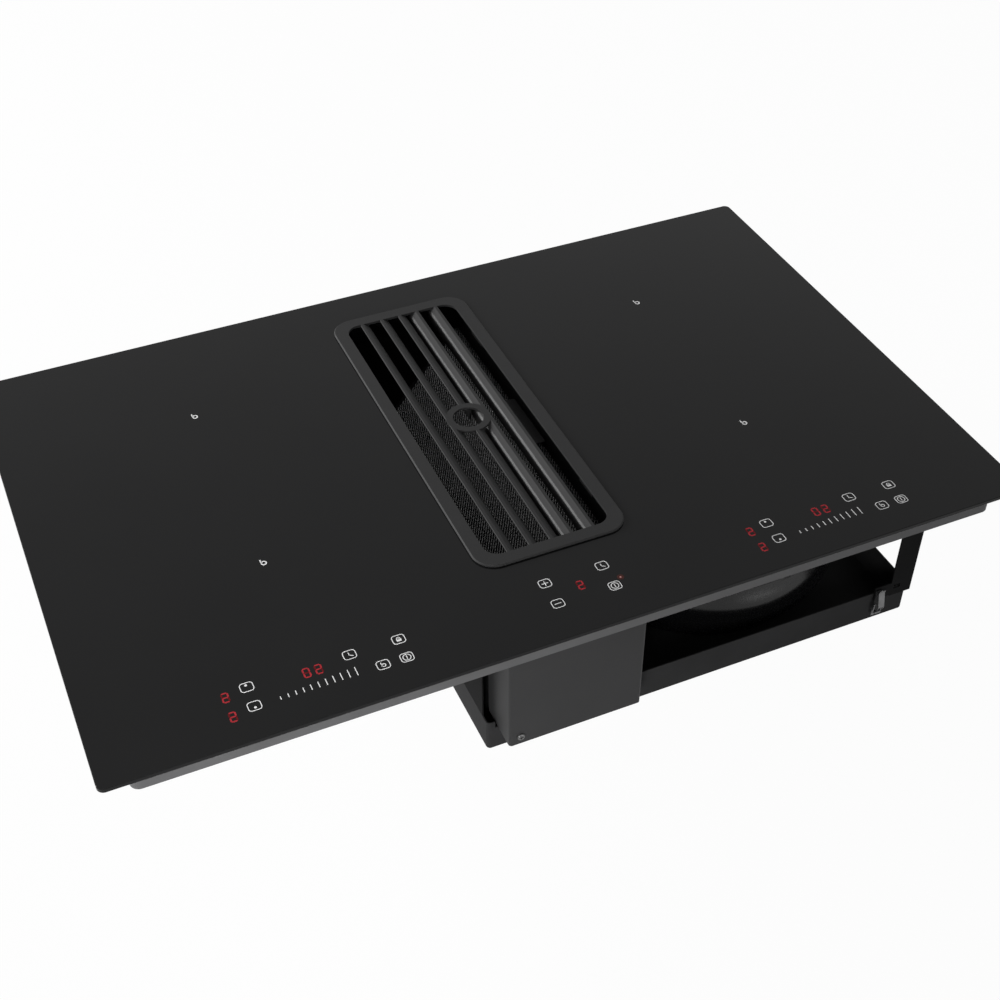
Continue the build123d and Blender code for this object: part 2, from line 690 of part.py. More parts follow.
def vane(edge_x, lean):
    """Curved blade: a flat top that rolls over to the side it leans to and ends upright."""
    top = TOTAL_HEIGHT
    outer_x = edge_x + lean * (VANE_TOP + VANE_REACH)
    inner_x = outer_x - lean * VANE_SHEET
    shoulder_x = edge_x + lean * VANE_TOP
    low = top - VANE_DEPTH
    y = GRILLE_Y - GRILLE_OPENING[1] - GRILLE_SKIRT / 2
    inset = VANE_SHEET
    outline = [
        Line((edge_x + lean * VANE_EDGE, y, top), (shoulder_x, y, top)),
        Spline(
            [(shoulder_x, y, top), (outer_x, y, top - VANE_DROP)],
            tangents=[(lean, 0, -VANE_FOLD), (0, 0, -1)],
            tangent_scalars=[1.0, 0.6],
        ),
        Line((outer_x, y, top - VANE_DROP), (outer_x, y, low)),
        Line((outer_x, y, low), (inner_x, y, low)),
        Line((inner_x, y, low), (inner_x, y, top - VANE_DROP)),
        Spline(
            [(inner_x, y, top - VANE_DROP), (shoulder_x - lean * inset / 2, y, top - inset)],
            tangents=[(0, 0, 1), (-lean, 0, VANE_FOLD)],
            tangent_scalars=[0.6, 0.9],
        ),
        Line((shoulder_x - lean * inset / 2, y, top - inset), (edge_x, y, top - inset)),
        Line((edge_x, y, top - inset), (edge_x, y, top - VANE_EDGE)),
        Line((edge_x, y, top - VANE_EDGE), (edge_x + lean * VANE_EDGE, y, top)),
    ]
    length = 2 * GRILLE_OPENING[1] + GRILLE_SKIRT
    return extrude(make_face(Curve() + outline), length, dir=(0, 1, 0))


def air_grille():
    foot = GLASS_TOP + GRILLE_FOOT_HEIGHT
    flange = centred_slab(
        GRILLE_HALF_WIDTH, GRILLE_HALF_LENGTH, (foot, TOTAL_HEIGHT), GRILLE_CORNER, GRILLE_Y
    )
    flange = chamfer(flange.faces().sort_by(Axis.Z)[-1].edges(), GRILLE_BEVEL)
    flange += centred_slab(
        GRILLE_HALF_WIDTH - GRILLE_FOOT_STEP,
        GRILLE_HALF_LENGTH - GRILLE_FOOT_STEP,
        (GLASS_TOP + GRILLE_SEAT, foot),
        GRILLE_CORNER - GRILLE_FOOT_STEP,
        GRILLE_Y,
    )
    opening_x, opening_y = GRILLE_OPENING
    opening_zs = (GLASS_TOP, TOTAL_HEIGHT)
    flange -= centred_slab(opening_x, opening_y, opening_zs, GRILLE_OPENING_CORNER, GRILLE_Y)
    lug_zs = (GLASS_TOP - GRILLE_LUG_DEPTH, foot)
    lug_end = opening_x + GRILLE_SKIRT
    for xs in both_sides(lug_end - GRILLE_LUG, lug_end):
        for y in (GRILLE_Y - GRILLE_LUG_Y, GRILLE_Y + GRILLE_LUG_Y):
            flange += block(xs, (y - GRILLE_LUG_HALF, y + GRILLE_LUG_HALF), lug_zs)
    blades = [vane(x, 1) for x in VANES_LEANING_RIGHT] + [vane(x, -1) for x in VANES_LEANING_LEFT]
    hole_zs = (TOTAL_HEIGHT - VANE_DEPTH - 1, TOTAL_HEIGHT + 1)
    middle = VANES_LEANING_RIGHT.index(-VANE_TOP / 2)
    blades[middle] -= disc(0, RING_Y, hole_zs, RING_BORE)
    grille = flange
    for blade in blades:
        grille += blade
    ring_zs = (TOTAL_HEIGHT - RING_THICKNESS, TOTAL_HEIGHT)
    return grille + disc(0, RING_Y, ring_zs, RING_RADIUS, RING_BORE)


# ---------------------------------------------------------------- suction well and grease filter


def leaning(distance, depth):
    """Point (x, z) on the leaning filter: down its face from the top edge, and in below its face."""
    x = FILTER_TOP_X - distance * math.cos(FILTER_SLOPE) + depth * math.sin(FILTER_SLOPE)
    z = FILTER_TOP_Z - distance * math.sin(FILTER_SLOPE) - depth * math.cos(FILTER_SLOPE)
    return (x, z)


def leaning_bar(start, end, top, bottom, ys):
    """Straight bar that follows the filter's slope between two distances from its top edge."""
    corners = [leaning(start, top), leaning(end, top), leaning(end, bottom), leaning(start, bottom)]
    return prism_along_y(corners, ys)


def suction_well():
    zs = (WELL_BOTTOM, WELL_FLANGE_TOP)
    well = centred_slab(WELL_HALF_WIDTH, WELL_HALF_LENGTH, zs, WELL_CORNER, GRILLE_Y)
    well += centred_slab(
        WELL_HALF_WIDTH + WELL_FLANGE,
        WELL_HALF_LENGTH + WELL_FLANGE,
        (WELL_FLANGE_UNDER, WELL_FLANGE_TOP),
        WELL_CORNER + WELL_FLANGE,
        GRILLE_Y,
    )
    inner_x = WELL_HALF_WIDTH - PLASTIC
    inner_y = WELL_HALF_LENGTH - PLASTIC
    inner_zs = (WELL_BOTTOM + PLASTIC, WELL_FLANGE_TOP)
    well -= centred_slab(inner_x, inner_y, inner_zs, WELL_CORNER - PLASTIC, GRILLE_Y)
    well -= block((inner_x - 1, WELL_HALF_WIDTH + 1), WINDOW_YS, WINDOW_ZS)
    front = WELL_FRONT + PLASTIC
    back = WELL_BACK - PLASTIC
    depth = FILTER_THICKNESS + GAP
    for ys in ((front, front + LEDGE_REACH), (back - LEDGE_REACH, back)):
        well += leaning_bar(LEDGE_START, FILTER_LENGTH, depth, depth + LEDGE_SIZE, ys)
        well += leaning_bar(
            FILTER_LENGTH + GAP, FILTER_LENGTH + LEDGE_SIZE, 0, depth + LEDGE_SIZE, ys
        )
    for y in (front + DRAIN_INSET, GRILLE_Y, back - DRAIN_INSET):
        well -= disc(DRAIN_X, y, (WELL_BOTTOM - 1, WELL_BOTTOM + PLASTIC + 1), DRAIN_RADIUS)
    return well


def well_seal():
    half_x = WELL_HALF_WIDTH + WELL_FLANGE
    half_y = WELL_HALF_LENGTH + WELL_FLANGE
    zs = (WELL_FLANGE_TOP, GLASS_UNDER)
    seal = centred_slab(half_x, half_y, zs, WELL_CORNER + WELL_FLANGE, GRILLE_Y)
    return seal - centred_slab(
        WELL_HALF_WIDTH, WELL_HALF_LENGTH, zs, WELL_CORNER, GRILLE_Y
    )


def filter_frame():
    """Folded rim round the mesh."""
    ys = (GRILLE_Y - FILTER_HALF_WIDTH, GRILLE_Y + FILTER_HALF_WIDTH)
    frame = leaning_bar(0, FILTER_LENGTH, 0, FILTER_THICKNESS, ys)
    inner_ys = (ys[0] + FILTER_RIM, ys[1] - FILTER_RIM)
    frame -= leaning_bar(FILTER_RIM, FILTER_LENGTH - FILTER_RIM, -1, FILTER_THICKNESS + 1, inner_ys)
    pocket_ys = (ys[0] + FILTER_RIM_SHEET, ys[1] - FILTER_RIM_SHEET)
    return frame - leaning_bar(
        FILTER_RIM_SHEET,
        FILTER_LENGTH - FILTER_RIM_SHEET,
        FILTER_RIM_SHEET,
        FILTER_THICKNESS - FILTER_RIM_SHEET,
        pocket_ys,
    )


def filter_mesh():
    """Pack of mesh layers that the rim holds."""
    ys = (
        GRILLE_Y - FILTER_HALF_WIDTH + FILTER_RIM_SHEET,
        GRILLE_Y + FILTER_HALF_WIDTH - FILTER_RIM_SHEET,
    )
    return leaning_bar(
        FILTER_RIM_SHEET,
        FILTER_LENGTH - FILTER_RIM_SHEET,
        FILTER_RIM_SHEET,
        FILTER_THICKNESS - FILTER_RIM_SHEET,
        ys,
    )


def filter_grip():
    """Tab to pull at, on an upright leg that stands on the filter's rim."""
    ys = (GRILLE_Y - GRIP_HALF_WIDTH, GRILLE_Y + GRIP_HALF_WIDTH)
    tab = slab(GRIP_XS, ys, (GRIP_Z, GRIP_Z + SHEET), GRIP_CORNER)
    rise = math.tan(FILTER_SLOPE)
    leg_xs = (GRIP_LEG_X, GRIP_LEG_X + SHEET)
    feet = [(x, FILTER_TOP_Z + rise * (x - FILTER_TOP_X)) for x in leg_xs]
    leg = [feet[0], feet[1], (leg_xs[1], GRIP_Z), (leg_xs[0], GRIP_Z)]
    return tab + prism_along_y(leg, (ys[0] + GRIP_LEG_INSET, ys[1] - GRIP_LEG_INSET))


# ---------------------------------------------------------------- fan


def at_fan(shape):
    """Moves a shape from the Z axis to the fan's axis."""
    return Pos(FAN_X, FAN_Y, 0) * shape


def bowl_solid(inset):
    """Solid bowl, smaller all round by the inset."""
    low = BOWL_BOTTOM + inset
    side = [(radius - inset, 0, max(z, low)) for radius, z in BOWL_PROFILE]
    rim = (FAN_RIM_RADIUS - inset, 0, FAN_SEAM)
    edges = [
        Line((0, 0, FAN_SEAM), rim),
        Line(rim, side[0]),
        Spline(side, tangents=[(0.25, 0, -1), (-1, 0, 0)]),
        Line(side[-1], (0, 0, low)),
        Line((0, 0, low), (0, 0, FAN_SEAM)),
    ]
    return at_fan(revolve(make_face(Curve() + edges), Axis.Z))


def fan_bowl():
    bowl = bowl_solid(0) - bowl_solid(FAN_WALL)
    for x, y in MOTOR_SCREWS:
        bowl -= screw_hole(x, y, (BOWL_BOTTOM, BOWL_FLOOR))
    return bowl


def fan_cover():
    """Upper half of the fan's housing, with the mouth of the outlet at its back."""
    roof = FAN_COVER_TOP - FAN_WALL
    stub_xs = (FAN_X - DUCT_HALF_WIDTH, FAN_X + DUCT_HALF_WIDTH)
    stub_start = FAN_Y + FAN_COVER_RADIUS / 2
    cover = disc(FAN_X, FAN_Y, (FAN_SEAM, FAN_COVER_TOP), FAN_COVER_RADIUS)
    cover += disc(FAN_X, FAN_Y, (FAN_SEAM, FAN_SEAM + FAN_RIM_HEIGHT), FAN_RIM_RADIUS)
    cover += block(stub_xs, (stub_start, DUCT_START_Y), (FAN_SEAM, FAN_COVER_TOP))
    cover -= disc(FAN_X, FAN_Y, (FAN_SEAM, roof), FAN_COVER_RADIUS - FAN_WALL)
    cover -= block(
        (stub_xs[0] + FAN_WALL, stub_xs[1] - FAN_WALL),
        (stub_start + FAN_WALL, DUCT_START_Y),
        (FAN_SEAM + FAN_WALL, roof),
    )
    mouth = FAN_INLET_RADIUS + INLET_LIP_REACH
    cover -= disc(FAN_X, FAN_Y, (roof - 1, FAN_COVER_TOP + 1), mouth)
    return cover + inlet_lip()


def inlet_lip():
    """Bell mouth that leads the air from the cover's roof down into the impeller."""
    roof = FAN_COVER_TOP - FAN_WALL
    low = FAN_COVER_TOP - INLET_LIP_DEPTH
    mouth = FAN_INLET_RADIUS + INLET_LIP_REACH
    inside = [(mouth, 0, FAN_COVER_TOP), (FAN_INLET_RADIUS, 0, low)]
    outside = [(FAN_INLET_RADIUS + FAN_WALL, 0, low), (mouth + FAN_WALL, 0, roof)]
    corner = (mouth + FAN_WALL, 0, FAN_COVER_TOP)
    edges = [
        Spline(inside, tangents=[(-1, 0, 0), (0, 0, -1)]),
        Line(inside[-1], outside[0]),
        Spline(outside, tangents=[(0, 0, 1), (1, 0, 0)]),
        Line(outside[-1], corner),
        Line(corner, inside[0]),
    ]
    return at_fan(revolve(make_face(Curve() + edges), Axis.Z))


def outlet_section(half_width, zs, y):
    """Upright outline of the outlet at one distance from the front."""
    centre = Plane(origin=(FAN_X, y, sum(zs) / 2), x_dir=(1, 0, 0), z_dir=(0, 1, 0))
    return centre * Rectangle(2 * half_width, zs[1] - zs[0])


def outlet_solid(inset):
    """Solid shape of the outlet, smaller all round by the inset."""
    near = (FAN_SEAM + inset, FAN_COVER_TOP - inset)
    far = (SPIGOT_ZS[0] + inset, SPIGOT_ZS[1] - inset)
    start = outlet_section(DUCT_HALF_WIDTH - inset, near, DUCT_START_Y)
    turn = outlet_section(SPIGOT_HALF_WIDTH - inset, far, SPIGOT_STRAIGHT_Y)
    end_y = GLASS_DEPTH / 2
    straight = extrude(turn, end_y - SPIGOT_STRAIGHT_Y, dir=(0, 1, 0))
    return loft([start, turn]) + straight


def outlet_spigot():
    flange_xs = (
        FAN_X - DUCT_HALF_WIDTH - SPIGOT_FLANGE,
        FAN_X + DUCT_HALF_WIDTH + SPIGOT_FLANGE,
    )
    flange_ys = (DUCT_START_Y, DUCT_START_Y + SPIGOT_FLANGE_THICKNESS)
    flange_zs = (FAN_SEAM - SPIGOT_FLANGE, FAN_COVER_TOP + SPIGOT_FLANGE)
    spigot = outlet_solid(0) + block(flange_xs, flange_ys, flange_zs)
    half_x = SPIGOT_HALF_WIDTH + SPIGOT_BEAD
    bead_zs = (SPIGOT_ZS[0] - SPIGOT_BEAD, SPIGOT_ZS[1] + SPIGOT_BEAD)
    bead_ys = (SPIGOT_STRAIGHT_Y, SPIGOT_STRAIGHT_Y + SPIGOT_BEAD_WIDTH)
    spigot += block((FAN_X - half_x, FAN_X + half_x), bead_ys, bead_zs)
    return spigot - outlet_solid(PLASTIC)


def intake_plenum():
    """Flat box that leads the air from the well's window to the fan's inlet."""
    def box_shape(inset):
        xs = (WELL_HALF_WIDTH - PLENUM_CORNER, PLENUM_END_X - inset)
        half = PLENUM_HALF_WIDTH - inset
        ys = (FAN_Y - half, FAN_Y + half)
        zs = (FAN_COVER_TOP + inset, PAN_BOTTOM - inset)
        return slab(xs, ys, zs, PLENUM_CORNER - inset)

    plenum = box_shape(0) - box_shape(PLASTIC)
    beyond = (WELL_HALF_WIDTH - PLENUM_CORNER, WELL_HALF_WIDTH)
    ys = (FAN_Y - PLENUM_HALF_WIDTH, FAN_Y + PLENUM_HALF_WIDTH)
    plenum -= block(beyond, ys, (FAN_COVER_TOP, PAN_BOTTOM))
    inlet_zs = (FAN_COVER_TOP - 1, FAN_COVER_TOP + PLASTIC + 1)
    plenum -= disc(FAN_X, FAN_Y, inlet_zs, FAN_INLET_RADIUS + INLET_LIP_REACH)
    for x, y in ROOF_SCREWS:
        plenum -= screw_hole(x, y, (PAN_BOTTOM - PLASTIC, PAN_BOTTOM))
    return plenum


def fan_motor():
    """Motor on a flange, with a shoulder, air slots round its shoulder and a bore for its bearings."""
    flange_top = BOWL_FLOOR + MOTOR_FLANGE_HEIGHT
    motor = disc(FAN_X, FAN_Y, (BOWL_FLOOR, flange_top), MOTOR_FLANGE_RADIUS)
    motor += disc(FAN_X, FAN_Y, (flange_top, MOTOR_SHOULDER), MOTOR_RADIUS)
    motor += disc(FAN_X, FAN_Y, (MOTOR_SHOULDER, MOTOR_TOP), MOTOR_NECK_RADIUS)
    motor -= disc(FAN_X, FAN_Y, (MOTOR_BORE_FLOOR, MOTOR_TOP + 1), BEARING_RADIUS)
    slot_x = (MOTOR_RADIUS + MOTOR_NECK_RADIUS) / 2
    slot = Pos(slot_x, 0, MOTOR_SHOULDER) * Box(*MOTOR_SLOT)
    for step in range(MOTOR_SLOTS):
        motor -= at_fan(Rot(0, 0, 360 * step / MOTOR_SLOTS) * slot)
    for x, y in MOTOR_SCREWS:
        motor -= screw_hole(x, y, (BOWL_FLOOR, flange_top))
    return motor


def motor_bearings():
    bore = SHAFT_RADIUS + SHAFT_CLEARANCE
    low = MOTOR_BORE_FLOOR + 1
    high = MOTOR_TOP - BEARING_HEIGHT - 1
    return [disc(FAN_X, FAN_Y, (z, z + BEARING_HEIGHT), BEARING_RADIUS, bore) for z in (low, high)]


def fan_shaft():
    return disc(FAN_X, FAN_Y, (MOTOR_BORE_FLOOR + GAP, SHAFT_TOP), SHAFT_RADIUS)


def impeller_blade():
    """Forward-curved blade between two rings, standing on the impeller's plate."""
    lead = math.radians(BLADE_LEAD)
    thin = BLADE_THICKNESS / BLADE_INNER_RADIUS
    middle = (BLADE_INNER_RADIUS + BLADE_OUTER_RADIUS) / 2

    def at(radius, angle, sideways=0.0):
        x = radius * math.cos(angle) + sideways * math.sin(angle)
        y = radius * math.sin(angle) - sideways * math.cos(angle)
        return (x, y, IMPELLER_PLATE_Z + 1)

    front = [
        at(BLADE_INNER_RADIUS, 0),
        at(middle, lead / 2, BLADE_BULGE),
        at(BLADE_OUTER_RADIUS, lead),
    ]
    back = [
        at(BLADE_INNER_RADIUS, thin),
        at(middle, lead / 2 + thin, BLADE_BULGE),
        at(BLADE_OUTER_RADIUS, lead + thin),
    ]
    edges = [
        ThreePointArc(*front),
        Line(front[2], back[2]),
        ThreePointArc(*reversed(back)),
        Line(back[0], front[0]),
    ]
    return extrude(make_face(Curve() + edges), IMPELLER_TOP - IMPELLER_PLATE_Z - 2)


def fan_impeller():
    """Wheel of curved blades between a plate with a coned hub and a shroud ring."""
    plate_top = IMPELLER_PLATE_Z + IMPELLER_PLATE
    hub_top = SHAFT_TOP - 4
    wheel = disc(0, 0, (IMPELLER_PLATE_Z, plate_top), IMPELLER_RADIUS)
    cone = Cone(HUB_CONE_RADIUS, HUB_RADIUS, HUB_CONE_HEIGHT)
    wheel += Pos(0, 0, plate_top + HUB_CONE_HEIGHT / 2) * cone
    wheel += disc(0, 0, (plate_top, hub_top), HUB_RADIUS)
    shroud_zs = (IMPELLER_TOP - SHROUD_THICKNESS, IMPELLER_TOP)
    wheel += disc(0, 0, shroud_zs, IMPELLER_RADIUS, IMPELLER_RADIUS - SHROUD_WIDTH)
    blade = impeller_blade()
    wheel += [Rot(0, 0, 360 * step / BLADE_COUNT) * blade for step in range(BLADE_COUNT)]
    wheel -= disc(0, 0, (IMPELLER_PLATE_Z - 1, hub_top + 1), SHAFT_RADIUS)
    return at_fan(wheel)


# ---------------------------------------------------------------- tray, side plate and legs


def lower_tray():
    zs = (0, TRAY_HEIGHT)
    tray = slab(TRAY_XS, TRAY_YS, zs, TRAY_CORNER)
    tray = fillet(tray.faces().sort_by(Axis.Z)[0].edges(), TRAY_BEND)
    inside = slab(
        (TRAY_XS[0] + SHEET, TRAY_XS[1] - SHEET),
        (TRAY_YS[0] + SHEET, TRAY_YS[1] - SHEET),
        (SHEET, TRAY_HEIGHT),
        TRAY_CORNER - SHEET,
    )
    inside = fillet(inside.faces().sort_by(Axis.Z)[0].edges(), TRAY_BEND - SHEET)
    front = (TRAY_YS[0] - 1, TRAY_YS[0] + SHEET + 1)
    notch = block((-TRAY_NOTCH_HALF, TRAY_NOTCH_HALF), front, (TRAY_NOTCH_Z, TRAY_HEIGHT))
    return tray - inside - notch


def left_side_plate():
    """Plate above the tray's left wall, with a tongue that carries the latch on that side."""
    left = TRAY_XS[0]
    xs = (left, left + SHEET)
    top = PAN_BOTTOM
    plate = block(xs, SIDE_PLATE_YS, (TRAY_HEIGHT + GAP, top))
    plate += block((left - SIDE_FLANGE, left + SHEET), SIDE_PLATE_YS, (top - SHEET, top))
    tongue_xs = (left - GAP - SHEET, left - GAP)
    tongue_ys = (LATCH_SIDE_Y - TONGUE_HALF, LATCH_SIDE_Y + TONGUE_HALF)
    lap_top = LEG_TONGUE_ZS[1] + TONGUE_LAP
    plate += block(tongue_xs, tongue_ys, (LEG_TONGUE_ZS[0], lap_top))
    plate += block((left - GAP, left), tongue_ys, (LEG_TONGUE_ZS[1], lap_top))
    for x, y, _ in PAN_SCREWS:
        plate -= screw_hole(x, y, (top - SHEET, top))
    return plate


def right_leg(face_y, outward):
    """Strap outside one wall of the tray, with a tongue for a latch and a flange under the pan."""
    strap_ys = sorted((face_y + outward * GAP, face_y + outward * (GAP + SHEET)))
    flange_ys = sorted((face_y + outward * GAP, face_y - outward * LEG_FLANGE))
    leg = block(LEG_XS, strap_ys, (LEG_BOTTOM, PAN_BOTTOM))
    leg += block((LEG_TONGUE_X, LEG_XS[0]), strap_ys, LEG_TONGUE_ZS)
    leg += block(LEG_XS, flange_ys, (PAN_BOTTOM - SHEET, PAN_BOTTOM))
    leg -= block(LEG_SLOT[0], (strap_ys[0] - 1, strap_ys[1] + 1), LEG_SLOT[1])
    for x, y, _ in PAN_SCREWS:
        leg -= screw_hole(x, y, (PAN_BOTTOM - SHEET, PAN_BOTTOM))
    return leg


# ---------------------------------------------------------------- front cover and control board


def front_cover():
    """Sheet bent round the front, open to the back and below, with a flange under the pan."""
    behind = 2 * COVER_BEND
    zs = (COVER_BOTTOM, PAN_BOTTOM)
    xs = (-COVER_HALF_WIDTH, COVER_HALF_WIDTH)
    cover = slab(xs, (COVER_YS[0], COVER_YS[1] + behind), zs, COVER_BEND)
    inner_xs = (xs[0] + SHEET, xs[1] - SHEET)
    inner_ys = (COVER_YS[0] + SHEET, COVER_YS[1] + behind)
    cover -= slab(inner_xs, inner_ys, (zs[0], zs[1] - SHEET), COVER_BEND - SHEET)
    cover -= block(xs, (COVER_YS[1], COVER_YS[1] + behind), zs)
    flange_end = COVER_YS[0] + COVER_FLANGE
    cover -= block(inner_xs, (flange_end, COVER_YS[1]), (zs[1] - SHEET, zs[1]))
    ahead = (COVER_SCREW_X, COVER_YS[0] - 1, COVER_SCREW_Z)
    cover -= rod(ahead, (COVER_SCREW_X, COVER_YS[0] + SHEET + 1, COVER_SCREW_Z), SCREW_RADIUS)
    for x, y, _ in PAN_SCREWS:
        cover -= screw_hole(x, y, (zs[1] - SHEET, zs[1]))
    return cover


def board_carrier():
    """Plastic plate on the well's front wall, with the boss for the cover's screw."""
    plate_ys = (WELL_FRONT - CARRIER_THICKNESS, WELL_FRONT)
    xs = (-CARRIER_HALF_WIDTH, CARRIER_HALF_WIDTH)
    carrier = block(xs, plate_ys, CARRIER_ZS)
    boss_front = COVER_YS[0] + SHEET
    tip = (COVER_SCREW_X, boss_front, COVER_SCREW_Z)
    carrier += rod(tip, (COVER_SCREW_X, plate_ys[0], COVER_SCREW_Z), BOSS_RADIUS)
    bore_end = (COVER_SCREW_X, boss_front + BOSS_BORE_DEPTH, COVER_SCREW_Z)
    carrier -= rod(tip, bore_end, SCREW_RADIUS)
    low_x, high_x = CONTROL_BOARD_XS
    low_z, high_z = CONTROL_BOARD_ZS
    for x in (low_x + CONTROL_POST_INSET, high_x - CONTROL_POST_INSET):
        for z in (low_z + CONTROL_POST_INSET, high_z - CONTROL_POST_INSET):
            carrier += rod((x, CONTROL_BOARD_Y, z), (x, plate_ys[0], z), POST_RADIUS)
    return carrier


def fan_control_board():
    """Upright board with its relays, capacitors and terminals."""
    face = CONTROL_BOARD_Y - BOARD_THICKNESS
    board = block(CONTROL_BOARD_XS, (face, CONTROL_BOARD_Y), CONTROL_BOARD_ZS)
    relay_z = CONTROL_BOARD_ZS[0] + RELAY_RISE
    for x in RELAY_XS:
        board += Pos(x, face - RELAY_SIZE[1] / 2, relay_z) * Box(*RELAY_SIZE)
    can_radius, can_height = BOARD_CAN
    can_z = CONTROL_BOARD_ZS[1] - BOARD_CAN_DROP
    for x in BOARD_CAN_XS:
        board += rod((x, face, can_z), (x, face - can_height, can_z), can_radius)
    strip_depth, strip_height = PLUG_STRIP
    strip_z = CONTROL_BOARD_ZS[1] - PLUG_STRIP_DROP
    strip_zs = (strip_z, strip_z + strip_height)
    return board + block(PLUG_STRIP_XS, (face - strip_depth, face), strip_zs)


# ---------------------------------------------------------------- latches


LATCH_PLACES = {
    "front": Pos(LATCH_X, TRAY_YS[0], 0),
    "rear": Pos(LATCH_X, TRAY_YS[1], 0) * Rot(0, 0, 180),
    "side": Pos(TRAY_XS[0], LATCH_SIDE_Y, 0) * Rot(0, 0, -90),
}


def both_sides(inner, outer):
    """The two stretches across a latch, left and right of its middle."""
    return ((-outer, -inner), (inner, outer))


def latch_prism(points, xs):
    """Part of a latch from (out from the wall, up) points, drawn across the latch."""
    return prism_along_x([(-out, z) for out, z in points], xs)


def latch_bar(out_z, xs, radius):
    """Round bar across a latch."""
    out, z = out_z
    return rod((xs[0], -out, z), (xs[1], -out, z), radius)


def latch_base():
    """Plate on the tongue, with two ears that carry the lever's pin."""
    face = GAP + SHEET
    out, z = LATCH_PIVOT
    plate = [
        (face, LATCH_BASE_ZS[0]),
        (face + LATCH_SHEET, LATCH_BASE_ZS[0]),
        (face + LATCH_SHEET, LATCH_BASE_ZS[1]),
        (face, LATCH_BASE_ZS[1]),
    ]
    base = latch_prism(plate, (-LATCH_BASE_HALF, LATCH_BASE_HALF))
    arm_low = z - EAR_ARM_BELOW
    arm = [(face, arm_low), (out, arm_low), (out, z + EAR_RADIUS), (face, z + EAR_RADIUS)]
    for xs in both_sides(EAR_INNER, EAR_OUTER):
        base += latch_prism(arm, xs)
        base += latch_bar(LATCH_PIVOT, xs, EAR_RADIUS)
    return base - latch_bar(LATCH_PIVOT, (-LEVER_OUTER, LEVER_OUTER), LATCH_PIN_RADIUS)


def latch_pin():
    half = LEVER_OUTER + PIN_END
    return latch_bar(LATCH_PIVOT, (-half, half), LATCH_PIN_RADIUS)


def latch_lever():
    """Channel that folds flat against the base, with a lip to lift it by."""
    lever = latch_prism(LEVER_BACK, (-LEVER_OUTER, LEVER_OUTER))
    for xs in both_sides(LEVER_INNER, LEVER_OUTER):
        lever += latch_prism(LEVER_CHEEK, xs)
    span = (-LEVER_OUTER - 1, LEVER_OUTER + 1)
    lever -= latch_bar(LATCH_PIVOT, span, LATCH_PIN_RADIUS + PIN_CLEARANCE)
    return lever - latch_bar(LATCH_LINK, span, BAIL_WIRE + PIN_CLEARANCE)


def latch_bail():
    """Wire loop from the lever down to the hook on the tray."""
    link_out, link_z = LATCH_LINK
    low_out, low_z = BAIL_BOTTOM
    wire = latch_bar(BAIL_BOTTOM, (-BAIL_HALF, BAIL_HALF), BAIL_WIRE)
    for sign in (-1, 1):
        x = sign * BAIL_HALF
        top = (x, -link_out, link_z)
        bottom = (x, -low_out, low_z)
        wire += rod(bottom, top, BAIL_WIRE)
        wire += rod(top, (sign * (LEVER_INNER + 0.1), -link_out, link_z), BAIL_WIRE)
        wire += Pos(*top) * Sphere(BAIL_WIRE)
        wire += Pos(*bottom) * Sphere(BAIL_WIRE)
    return wire


def latch_keeper():
    """Hook on the tray's wall that the wire loop pulls up."""
    return latch_prism(KEEPER_HOOK, (-KEEPER_HALF, KEEPER_HALF))


# ---------------------------------------------------------------- electronics


def electronics_box():
    """Sheet tub under the pan, with air slots in its floor and left wall and a hole for the gland."""
    wall = PAN_SHEET
    tub = slab(BOX_XS, BOX_YS, (BOX_BOTTOM, PAN_BOTTOM), BOX_CORNER)
    flange_xs = (BOX_XS[0] - BOX_FLANGE, BOX_XS[1] + BOX_FLANGE)
    tub += slab(flange_xs, BOX_YS, (PAN_BOTTOM - wall, PAN_BOTTOM), BOX_CORNER)
    tub -= slab(
        (BOX_XS[0] + wall, BOX_XS[1] - wall),
        (BOX_YS[0] + wall, BOX_YS[1] - wall),
        (BOX_FLOOR, PAN_BOTTOM),
        BOX_CORNER - wall,
    )
    for x, y, _ in PAN_SCREWS:
        tub -= screw_hole(x, y, (PAN_BOTTOM - wall, PAN_BOTTOM))
    floor = (BOX_BOTTOM - 1, BOX_FLOOR + 1)
    slot_ys = (-VENT_HALF_LENGTH, VENT_HALF_LENGTH)
    for step in range(VENT_SLOTS):
        x = COOLING_FAN_X + (step - (VENT_SLOTS - 1) / 2) * VENT_PITCH
        slot_xs = (x - VENT_WIDTH / 2, x + VENT_WIDTH / 2)
        tub -= slab(slot_xs, slot_ys, floor, VENT_WIDTH * 0.48)
    wall_xs = (BOX_XS[0] - 1, BOX_XS[0] + wall + 1)
    louvre_z = (BOX_BOTTOM + PAN_BOTTOM) / 2
    louvre_zs = (louvre_z - LOUVRE_HEIGHT / 2, louvre_z + LOUVRE_HEIGHT / 2)
    for sign in (-1, 1):
        for step in range(LOUVRES):
            y = sign * (LOUVRE_START + step * LOUVRE_PITCH)
            tub -= block(wall_xs, (y - LOUVRE_WIDTH / 2, y + LOUVRE_WIDTH / 2), louvre_zs)
    return tub - rod((wall_xs[0], 0, GLAND_Z), (wall_xs[1], 0, GLAND_Z), GLAND_RADIUS)


def cable_gland():
    """Bush in the wall of the box for the mains cable, which is not part of this object."""
    face = BOX_XS[0]
    outside = face - GLAND_OUTSIDE
    inside = face + PAN_SHEET + GLAND_INSIDE
    bush = rod((outside, 0, GLAND_Z), (inside, 0, GLAND_Z), GLAND_RADIUS)
    bush += rod((outside, 0, GLAND_Z), (face, 0, GLAND_Z), GLAND_RADIUS + GLAND_COLLAR)
    bore = GLAND_RADIUS - GLAND_WALL
    return bush - rod((outside - 1, 0, GLAND_Z), (inside + 1, 0, GLAND_Z), bore)


